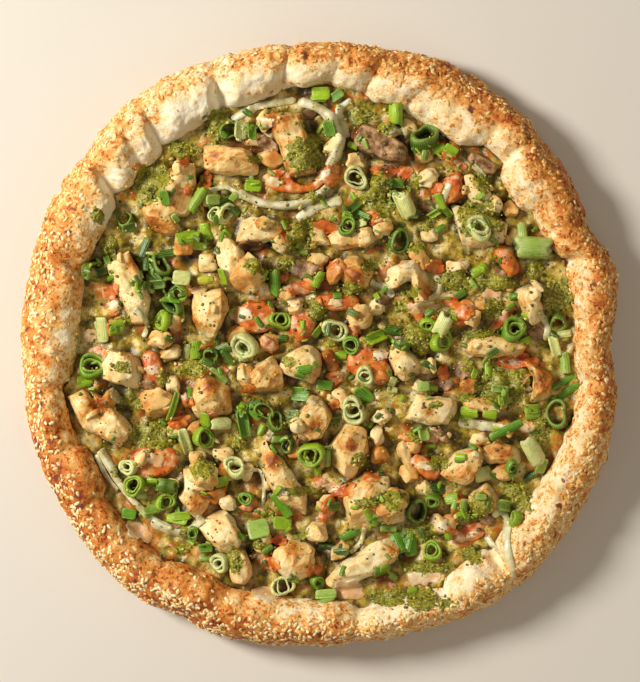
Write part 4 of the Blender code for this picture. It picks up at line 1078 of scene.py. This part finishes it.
# (kind, x, y, length or diameter, width or height, turn, tone)
springOnion = (
    ("leaf", -83.5, 80, 9, 6, 90, "m"), ("tube", -66.5, 79.5, 14, 6, 60, "l"),
    ("leaf", -58, 79, 8, 6, 0, "i"), ("ring", -51.5, 72, 11, 4, 0, "w"),
    ("ring", -57, 71, 8, 4, 0, "w"), ("ring", -49, 117, 11, 5, 0, "d"),
    ("leaf", -43, 117, 10, 8, 90, "w"), ("leaf", -37, 116, 10, 6, 90, "m"),
    ("leaf", -52, 78, 9, 5, 20, "d"), ("leaf", -47, 74, 9, 5, -40, "d"),
    ("leaf", -72, 59, 12, 8, 30, "l"), ("leaf", -65, 54, 10, 5, 0, "l"),
    ("leaf", -62, 62, 9, 8, 90, "l"), ("ring", -106, 68, 10, 4, 0, "d"),
    ("leaf", -104, 64, 8, 5, 0, "d"), ("leaf", -92, 49, 6, 4, 0, "w"), ("ring", -87, 43, 12, 5, 0, "d"),
    ("leaf", 1, 137, 10, 9, 0, "l"), ("leaf", 10, 136, 8, 6, 30, "m"), ("leaf", 6, 118, 9, 7, 90, "m"),
    ("leaf", -36, 87, 9, 8, 0, "l"), ("ring", 20, 91, 13, 5, 0, "w"), ("leaf", 18, 108, 6, 5, 0, "l"),
    ("tube", 42, 126, 12, 9, 90, "l"), ("leaf", 43, 88, 7, 6, 0, "m"), ("leaf", 39, 88, 6, 5, 50, "m"),
    ("ring", 42, 80, 8, 4, 0, "d"), ("tube", 47, 76, 14, 9, -60, "w"),
    ("ring", 43.5, 56.5, 13, 5, 0, "d"), ("leaf", 18, 74, 12, 6, 30, "d"),
    ("leaf", 23, 70, 11, 6, -30, "m"), ("leaf", 15, 69, 9, 5, 80, "m"),
    ("ring", 15.5, 64, 10, 5, 0, "m"), ("leaf", 23, 66, 7, 5, 0, "w"), ("leaf", 58, 103, 6, 5, 90, "i"),
    ("leaf", 65, 107, 8, 6, 20, "l"), ("leaf", 72, 106, 8, 6, -20, "l"),
    ("leaf", 66, 78, 10, 5, 90, "l"), ("leaf", 63, 72, 8, 5, 30, "l"), ("leaf", 70, 73, 8, 5, -40, "l"),
    ("ring", 87, 63, 14, 5, 0, "w"), ("tube", 111, 62, 8, 5, 90, "i"),
    ("ring", -124, 40, 13, 5, 0, "d"), ("leaf", -119, 40, 7, 5, 0, "d"),
    ("leaf", -119, 8, 14, 8, 90, "w"), ("leaf", -110, 9, 9, 9, 0, "l"),
    ("leaf", -128, -20, 9, 8, 0, "l"), ("ring", -124, -12, 15, 5, 0, "m"),
    ("leaf", -92, 33, 10, 6, 90, "w"), ("ring", -82, 32, 10, 4, 0, "d"),
    ("leaf", -75, 36, 10, 9, 0, "w"), ("ring", -77, 27, 10, 4, 0, "l"),
    ("leaf", -76, 18, 14, 5, 90, "i"), ("ring", -85, 13, 12, 5, 0, "l"),
    ("leaf", -62, 35, 9, 5, 0, "y"), ("leaf", -52, 37, 10, 5, 90, "l"),
    ("leaf", -72.5, -4, 9, 4, 90, "w"), ("leaf", -67, -3, 10, 8, 90, "l"),
    ("leaf", -54, -3, 12, 6, 20, "d"), ("leaf", -50, -7, 10, 5, -50, "d"),
    ("ring", -59, -6, 9, 4, 0, "d"), ("ring", -41, -1, 16, 5, 0, "w"), ("leaf", -40, -8, 8, 4, 0, "w"),
    ("leaf", -55, -17, 12, 4, -30, "i"), ("leaf", -79.5, -34, 18, 4, 85, "l"),
    ("leaf", -63, -41, 9, 8, 90, "l"), ("tube", -54, -43, 10, 7, 0, "w"),
    ("leaf", -42, -44, 14, 9, 90, "m"), ("leaf", -73, -53, 16, 7, -70, "w"),
    ("ring", -63, -51, 12, 5, 0, "l"), ("tube", -24, 34, 14, 7, 90, "m"),
    ("leaf", 0.5, 35, 10, 7, 60, "l"), ("leaf", 10, 27, 5, 5, 0, "m"), ("ring", -21, 13, 11, 5, 0, "l"),
    ("leaf", -20, 3, 6, 5, 0, "d"), ("ring", 9, 8, 13, 5, 0, "w"), ("leaf", 4, 9, 9, 5, 90, "d"),
    ("leaf", -1, 8, 9, 6, 40, "l"), ("leaf", 31, 3, 13, 9, 20, "l"), ("leaf", 40, 8, 10, 8, 0, "d"),
    ("ring", 45, 0, 8, 4, 0, "d"), ("ring", 18, 0, 10, 5, 0, "m"), ("leaf", 12, -6, 7, 6, 0, "l"),
    ("leaf", -8, -14, 8, 6, 0, "m"), ("ring", 25, -16.5, 10, 4, 0, "w"),
    ("leaf", 25, -28, 10, 8, -35, "m"), ("leaf", 3, -22, 9, 6, 0, "m"),
    ("leaf", -10, -27, 11, 9, 0, "m"), ("leaf", 40, -20, 6, 5, 90, "w"),
    ("leaf", 40, -25, 6, 4, 0, "w"), ("leaf", -38, -33, 13, 6, 10, "d"),
    ("leaf", -35, -37, 10, 6, -50, "m"), ("leaf", -42, -36, 9, 5, 60, "m"),
    ("ring", -30, -36, 10, 4, 0, "d"), ("ring", -24, -42, 10, 4, 0, "d"),
    ("leaf", -14, -38, 8, 5, 0, "d"), ("leaf", 8, -41, 8, 5, 0, "d"), ("leaf", 88, 40, 10, 8, 30, "l"),
    ("leaf", 106, 26, 5, 5, 0, "m"), ("tube", 68, 11, 13, 8, 60, "w"), ("ring", 67, 2, 13, 5, 0, "l"),
    ("ring", 60, 11, 8, 4, 0, "l"), ("leaf", 110, 5, 8, 5, 0, "d"), ("leaf", 113, 2, 8, 5, 30, "l"),
    ("ring", 131, 12, 10, 4, 0, "d"), ("leaf", 134, 6, 8, 5, 0, "w"),
    ("leaf", 129, -1, 12, 6, -65, "w"), ("leaf", 134, -10, 12, 7, 90, "i"),
    ("leaf", 134, -21, 17, 5, 40, "m"), ("leaf", 136, -26, 15, 5, 40, "m"),
    ("leaf", 93, -13, 10, 5, 90, "l"), ("leaf", 98, -24, 8, 5, 0, "i"),
    ("leaf", 101, -31, 8, 5, 30, "i"), ("leaf", 57, -23, 7, 6, 0, "i"), ("leaf", 62, -23, 7, 5, 0, "l"),
    ("leaf", 82, -37, 10, 7, 0, "l"), ("leaf", 93, -38, 8, 6, 0, "l"),
    ("leaf", 102, -47, 20, 6, 25, "m"), ("leaf", 117, -37, 9, 9, 0, "l"),
    ("ring", 130, -38, 14, 5, 0, "d"), ("leaf", 57, -49, 8, 7, 90, "i"),
    ("leaf", 61, -56, 6, 4, 0, "l"), ("ring", -104, -67, 10, 4, 0, "w"),
    ("ring", -101, -77, 12, 5, 0, "l"), ("leaf", -97, -83, 6, 6, 0, "w"),
    ("tube", -83, -77, 11, 7, -10, "d"), ("leaf", -91, -75, 7, 5, 0, "l"),
    ("leaf", -92, -90, 12, 8, 45, "i"), ("ring", -84, -86, 10, 4, 0, "l"),
    ("leaf", -77, -94, 12, 9, -10, "l"), ("leaf", -104, -93, 8, 7, 0, "m"),
    ("ring", -46, -67, 12, 5, 0, "w"), ("leaf", -53, -75, 8, 6, 0, "l"),
    ("leaf", -62, -111, 8, 6, 0, "m"), ("leaf", -62, -117, 7, 5, 0, "i"),
    ("ring", -54, -119, 11, 5, 0, "w"), ("ring", -69, -103, 7, 4, 0, "m"),
    ("leaf", -22, -53, 8, 6, 0, "i"), ("ring", -17, -55, 8, 4, 0, "d"),
    ("leaf", 5, -61, 12, 5, 90, "i"), ("leaf", -1, -69, 7, 5, 90, "l"),
    ("ring", -40, -84, 8, 4, 0, "m"), ("leaf", -21, -88, 16, 8, -55, "m"),
    ("leaf", -20, -98, 10, 8, 0, "l"), ("leaf", -33, -101, 12, 11, 0, "i"),
    ("leaf", -28, -112, 7, 4, 20, "m"), ("ring", -20, -132, 12, 5, 0, "w"),
    ("ring", -1, -130, 8, 4, 0, "m"), ("leaf", 4, -137, 12, 7, 5, "i"),
    ("leaf", 28, -94, 13, 5, -70, "l"), ("leaf", 8, -88, 8, 6, 0, "d"),
    ("leaf", 17, -104, 13, 7, 30, "m"), ("leaf", 5, -110, 12, 4, 0, "d"),
    ("leaf", 12, -113, 9, 4, 20, "d"), ("leaf", 38, -101, 9, 6, 0, "i"),
    ("leaf", 44, -108, 12, 9, 90, "m"), ("leaf", 34, -124, 8, 8, 0, "m"),
    ("leaf", 36, -122, 6, 5, 0, "l"), ("leaf", 77, -61, 6, 4, 0, "l"), ("ring", 105, -67, 8, 4, 0, "m"),
    ("leaf", 90, -71, 10, 9, 0, "w"), ("leaf", 120, -60, 8, 5, 60, "d"),
    ("leaf", 121, -66, 9, 7, 90, "i"), ("leaf", 115, -72, 10, 4, 20, "d"),
    ("leaf", 65, -79, 9, 7, 0, "d"), ("ring", 62, -85, 8, 5, 0, "m"), ("leaf", 72, -84, 8, 7, 0, "l"),
    ("leaf", 79, -88, 8, 5, 90, "i"), ("leaf", 78, -93, 7, 5, 0, "l"), ("leaf", 88, -83, 6, 4, 0, "i"),
    ("leaf", 101, -88, 8, 8, 0, "i"), ("ring", 53, -91, 13, 5, 0, "d"),
    ("leaf", 70, -104, 7, 5, 90, "l"), ("leaf", 50, -110, 12, 8, 90, "m"),
    ("ring", 62, -113, 11, 5, 0, "l"), ("leaf", 51, -134, 6, 4, 0, "l"),
    ("ring", 107, -95, 9, 4, 0, "l"), ("leaf", -97, 52, 14, 7, 60, "d"),
    ("leaf", -91, 38, 13, 7, -50, "d"), ("leaf", -84, 50, 11, 6, 20, "d"),
    ("leaf", -95, 45, 10, 5, 100, "d"), ("leaf", -88, 33, 10, 6, 10, "d"),
    ("ring", -80, 22, 11, 5, 0, "d"))
# the rings and tubes that are solids of their own: (node, kind, x, y, diameter, height, turn, tone)
bigOnion = (
    ("spring_onion_01", "ring", 19, -36, 14, 6, 0, "w"),
    ("spring_onion_02", "ring", 106, 8, 14, 7, 0, "m"),
    ("spring_onion_03", "ring", 58, 113, 15, 7, 0, "d"),
    ("spring_onion_04", "ring", -4, -60, 14, 7, 0, "l"),
    ("spring_onion_05", "tube", 117, 52.5, 20, 11, -3, "i"),
    ("spring_onion_06", "tube", 117, -58, 14, 9, -62, "w"))


def ringPoints(shape, radius, length, wall, draw):   # a hollow slice of stem, a little out of round
    around, across = shape
    oval, lean = draw.uniform(0.04, 0.24), draw.uniform(0, 6.3)
    outward = 1 + oval * np.cos(2 * (around - lean)) + 0.07 * np.cos(3 * around + lean * 5)
    u, v = np.cos(across), np.sin(across)
    u = np.sign(u) * np.abs(u) ** 0.6
    v = np.sign(v) * np.abs(v) ** 0.5
    r = (radius - wall / 2 + u * wall / 2) * outward
    z = v * length / 2 * (1 + 0.18 * np.cos(around + lean * 2) + 0.07 * np.cos(4 * around + lean))
    return np.stack([r * np.cos(around), r * np.sin(around), z], 1), u, v


def ringTemplate():
    points, faces = template(bpy.ops.mesh.primitive_torus_add, major_segments=26, minor_segments=8,
                             major_radius=1, minor_radius=0.25)
    around = np.arctan2(points[:, 1], points[:, 0])
    across = np.arctan2(points[:, 2], np.hypot(points[:, 0], points[:, 1]) - 1)
    return (around, across), faces


def slabTemplate(segments, rings):   # a flat box with soft edges
    points, faces = template(bpy.ops.mesh.primitive_uv_sphere_add, segments=segments, ring_count=rings,
                             radius=1)
    x, y, z = points[:, 2], points[:, 0], points[:, 1]
    return np.stack([np.sign(v) * np.abs(v) ** p for v, p in ((x, 0.36), (y, 0.4), (z, 0.7))], 1), faces


def placed(points, x, y, reach, turn, thick, sink, steep=0.6, tilt=0.0):   # lays points on what is there
    x, y = x + offset[0], y + offset[1]
    lift, slope = relief.seat(x, y, reach, steep)
    axes = turnFrame(slope, math.radians(turn))
    c, s = math.cos(tilt), math.sin(tilt)
    points = points @ np.array([[1, 0, 0], [0, c, s], [0, -s, c]])
    laid = np.array([x, y, lift + thick / 2 - sink]) + points @ axes
    laid[:, 2] -= max(0, laid[:, 2].max() - highest)
    return laid


def makeSpringOnion():
    draw = random.Random(21)
    ring, ringFaces = ringTemplate()
    fine, coarse = slabTemplate(14, 10), slabTemplate(8, 6)
    pale, fresh = (np.array(linear(*stem[kind])) for kind in ("pale", "fresh"))
    pile = Pile()

    def lay(row, target, steep=0.6):
        kind, x, y, length, width, turn, tone = row
        main = np.array(linear(*tones[tone])) * draw.uniform(0.8, 1.15)
        if kind == "leaf":   # a flat or half rolled piece of leaf
            roll = draw.uniform(1.2, 3.2) / max(width, 5)
            thick = min(stem["paleThick" if tone in "wi" else "leafThick"], 0.25 * width + 0.3)
            slab, slabFaces = fine if length > stem["fineFrom"] else coarse
            points = slab * (length / 2, width / 2, thick / 2)
            bend = points[:, 1] * roll
            arc = 1 / roll
            curled = np.stack([points[:, 0], (arc - points[:, 2]) * np.sin(bend),
                               arc - (arc - points[:, 2]) * np.cos(bend)], 1)
            curled[:, 1:] *= draw.choice((-1, -1, 1))
            curled[:, 2] += 0.04 * points[:, 0] ** 2 * draw.uniform(-0.5, 0.5)
            spin, tilt = turn + draw.uniform(-12, 12), draw.uniform(-0.3, 0.3)
            laid = placed(curled, x, y, min(length, width) / 2, spin, thick + 0.6, 0.1, steep, tilt)
            if width >= 6.5 and draw.random() < stem["doubled"] and length > 6.6:
                lay((kind, x + draw.uniform(-2, 2), y + draw.uniform(-2, 2), length * 0.9, width * 0.62,
                     turn + draw.uniform(-30, 30), tone), target, steep)
            ends = np.clip(np.abs(slab[:, 0]) ** 6, 0, 1)[:, None] * 0.45
            edge = np.clip(np.abs(slab[:, 1]) ** 4, 0, 1)[:, None] * 0.25
            shade = main * (1 - edge) + fresh * edge
            target.add(laid, slabFaces, tone=shade * (1 - ends) + (pale if tone in "wi" else fresh) * ends,
                       vein=points[:, 1])
            relief.add(laid)
            return
        if kind == "ring":
            radius, tall = length / 2, max(stem["ringHeight"], width * 1.05)
            tilt = draw.choice((-1, 1)) * draw.uniform(0.1, 0.85)
            slopeLimit, reach, thick = steep, length / 2, tall
        else:
            radius, tall, tilt = width / 2, length, 0
            slopeLimit, reach, thick = 0.35, width / 2, width
        light = pale if tone in "wi" else fresh
        wall = radius * draw.uniform(*stem["wall"])
        layers = [(radius, wall, main)]
        if tone in "wilm" and draw.random() < stem["innerLayer"]:
            layers.append((radius - wall * 0.95, wall * 0.7, main * 0.4 + light * 0.6))
        spin = draw.uniform(0, 360) if kind == "ring" else turn
        for outer, thickness, base in layers:
            points, u, v = ringPoints(ring, outer, tall * (1 if outer == radius else 0.85), thickness, draw)
            if outer != radius:
                points[:, :2] += np.array((draw.uniform(-1, 1), draw.uniform(-1, 1))) * wall * 0.2
            if kind == "tube":
                points = points[:, [2, 0, 1]]
            laid = placed(points, x, y, reach, spin, thick, 0.8, slopeLimit, tilt)
            cut = np.clip(np.abs(v) ** 2, 0, 1)[:, None] * 0.7
            # inner wall of a ring: for the white, mint and lime tones a paler inside, for the other tones
            # painted shade in the hole
            inside = np.clip(-u, 0, 1)[:, None] * 0.6
            shade = base * (1 - cut) + (base * 0.3 + light * 0.7) * cut
            shade = shade * (1 - inside) + (light * 0.7 if tone in "wil" else base * 0.45) * inside
            target.add(laid, ringFaces, tone=shade, vein=ring[0] * outer)
        relief.add(laid)

    for node, *row in bigOnion:
        own = Pile()
        lay(row, own)
        toShade.append(own.piece(pieceName(node), onionGreen, "spring_onion", node).data)
    for row in springOnion:
        lay(row, pile)
    count, lengths = scattered["greenScraps"]
    for i in range(count):   # small scraps between the larger pieces
        x, y = anyPlace(draw, toppingsReach)
        if i % 3:
            _, x, y, *_ = draw.choice(springOnion)
            x, y = x + draw.gauss(0, 6), y + draw.gauss(0, 6)
        length = draw.uniform(*lengths)
        if math.hypot(x, y) < 134:
            lay(("leaf", x, y, length, length * draw.uniform(0.3, 0.7), draw.uniform(0, 180),
                 draw.choice("ddmmmllli")), pile)
    toShade.append(pile.piece("springOnionPieces", onionGreen, "spring_onion").data)


def springOnionMaterial():
    wire = newMaterial("springOnion", Subsurface_Weight=0.08, Subsurface_Scale=0.002,
                       Coat_Weight=0.2, Coat_Roughness=0.3)
    lines = wire.sum("SINE", wire.value("vein") * 6.0 + wire.specks(3, 2) * 9.0)
    colour = wire.blend(lines.from0to1(-0.4, 1.0) * 0.20, wire.colour("tone"), (194, 214, 88))
    colour = wire.blend(wire.specks(3.0, 3).from0to1(0.45, 0.75) * 0.35, colour, (60, 104, 8), "MULTIPLY")
    colour = wire.blend(wire.value("shade") * 0.6, colour, (20, 44, 6))
    return plug(wire, colour, wire.specks(2.5, 2) * 0.2 + 0.28, lines * 0.25 + wire.specks(1.2, 2), 0.22)


# Grains and lumps of pesto over everything
def makePesto():
    draw = np.random.default_rng(5)
    shape, faces = template(bpy.ops.mesh.primitive_ico_sphere_add, subdivisions=1, radius=1)
    pile = Pile()
    palette = np.array([linear(*colour) for colour in pestoLook["grains"]])
    spots = []
    for x, y, length, width in pestoPatches:
        for _ in range(int(length * width * pestoLook["grainsPerArea"])):
            angle, reach = draw.uniform(0, 2 * np.pi), np.sqrt(draw.random()) * 1.25
            spots.append((x + length / 2 * reach * math.cos(angle),
                          y + width / 2 * reach * math.sin(angle)))
    for _ in range(*scattered["grains"]):   # and a few grains everywhere
        angle, reach = draw.uniform(0, 2 * np.pi), 134 * np.sqrt(draw.random())
        spots.append((reach * math.cos(angle), reach * math.sin(angle)))
    for x, y in spots:
        isGrain = draw.random() < pestoLook["grainShare"]
        size = draw.uniform(*pestoLook["grainSize" if isGrain else "lumpSize"])
        rough = shape * (1 + draw.normal(0, 0.18, (len(shape), 1))) * size * (1, draw.uniform(0.6, 1), 0.62)
        laid = placed(rough, x, y, 1.2, draw.uniform(0, 360), size * 0.6, 0.1, 1.0)
        pile.add(laid, faces, tone=palette[draw.integers(len(palette))] * draw.uniform(0.8, 1.2))
    wire = newMaterial("pestoGrain", Coat_Weight=0.25, Coat_Roughness=0.3)
    colour = wire.blend(wire.specks(0.9, 2).from0to1(0.35, 0.7) * 0.3, wire.colour("tone"), (196, 190, 110))
    colour = wire.blend(wire.value("shade") * 0.6, colour, (36, 36, 8))
    material = plug(wire, colour, wire.specks(1.5, 2) * 0.3 + 0.3, wire.specks(0.7, 2), 0.25)
    toShade.append(pile.piece("pestoGrains", material, "pesto").data)


# Floor, light and camera
studio = {"away": 1.6, "focus": 13, "frameWidth": 640, "frameHeight": 682, "mmPerPixel": 0.548,
          "middlePixel": (319, 344.5), "sensor": 36, "floorSize": 6,
          "room": (1.0, 0.84, 0.62), "roomLight": 0.24,
          # (name, place, size, power, colour)
          "lamps": (("windowLight", (-1.15, 0.45, 0.95), 0.45, 28.5, (1.0, 0.95, 0.87)),
                    ("fillLight", (0.9, -0.7, 1.3), 1.2, 3, (1.0, 0.95, 0.9)))}


def makeStudio():
    bpy.ops.mesh.primitive_grid_add(x_subdivisions=8, y_subdivisions=8, size=studio["floorSize"],
                                    location=(0, 0, -0.0005))
    floor = bpy.context.object
    floor.name = "floor"
    wire = newMaterial("paleFloor")
    colour = wire.blend(wire.specks(400, 2) * 0.15, (226, 222, 214), (214, 208, 198))
    material = plug(wire, colour, wire.specks(300, 2) * 0.1 + 0.75, wire.specks(3, 2), 0.02)
    floor.data.materials.append(material)
    world = bpy.data.worlds.new("softRoom")
    bpy.context.scene.world = world
    world.use_nodes = True
    background = world.node_tree.nodes["Background"]
    background.inputs["Color"].default_value = (*studio["room"], 1)
    background.inputs["Strength"].default_value = studio["roomLight"]
    for name, place, size, power, colour in studio["lamps"]:
        bpy.ops.object.light_add(type="AREA", location=place)
        light = bpy.context.object
        light.name = name
        light.rotation_euler = (-Vector(place)).to_track_quat("-Z", "Y").to_euler()
        light.data.shape, light.data.size, light.data.energy, light.data.color = "DISK", size, power, colour
    across = studio["frameWidth"] * studio["mmPerPixel"]
    x = (studio["frameWidth"] / 2 - studio["middlePixel"][0]) * studio["mmPerPixel"] + offset[0]
    y = (studio["middlePixel"][1] - studio["frameHeight"] / 2) * studio["mmPerPixel"] + offset[1]
    z = studio["focus"] + studio["away"] / mm
    bpy.ops.object.camera_add(location=(x * mm, y * mm, z * mm), rotation=(0, 0, 0))
    camera = bpy.context.object
    camera.data.sensor_fit, camera.data.sensor_width = "HORIZONTAL", studio["sensor"]
    camera.data.lens = studio["sensor"] * studio["away"] / (across * mm)
    bpy.context.scene.camera = camera
    bpy.context.scene.view_settings.view_transform = "Standard"


relief = Relief()
rim, rimSideways, rimAngles = makeCrust()
relief.add(pointsOf(rim.data)[pointsOf(rim.data)[:, 2] > 8.5])
print("crust")
scatterSeeds(rim, rimSideways, rimAngles)
print("sesame seeds")
meat = meatMaterial()
softMaterials = {kind: softMaterial(kind) for kind in ("tomato", "mushroom", "onion")}
for nodeName in sorted(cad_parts):
    kind = nodeName.split("_")[0]
    if kind == "chicken":
        shapeMeat(nodeName, meat)
    elif kind in softMaterials:
        shapeSoft(nodeName, softMaterials[kind], kind)
print("chicken, tomato, mushroom and onion")
makeBed(bedMaterial())
print("melted cheese")
makeSmallToppings(meat, **softMaterials)
makePestoSmears()
print("small toppings and smears of pesto")
onionGreen = springOnionMaterial()
makeSpringOnion()
print("spring onion")
makePesto()
shadeHollows()
print("grains of pesto")
makeStudio()
print("floor, light and camera")
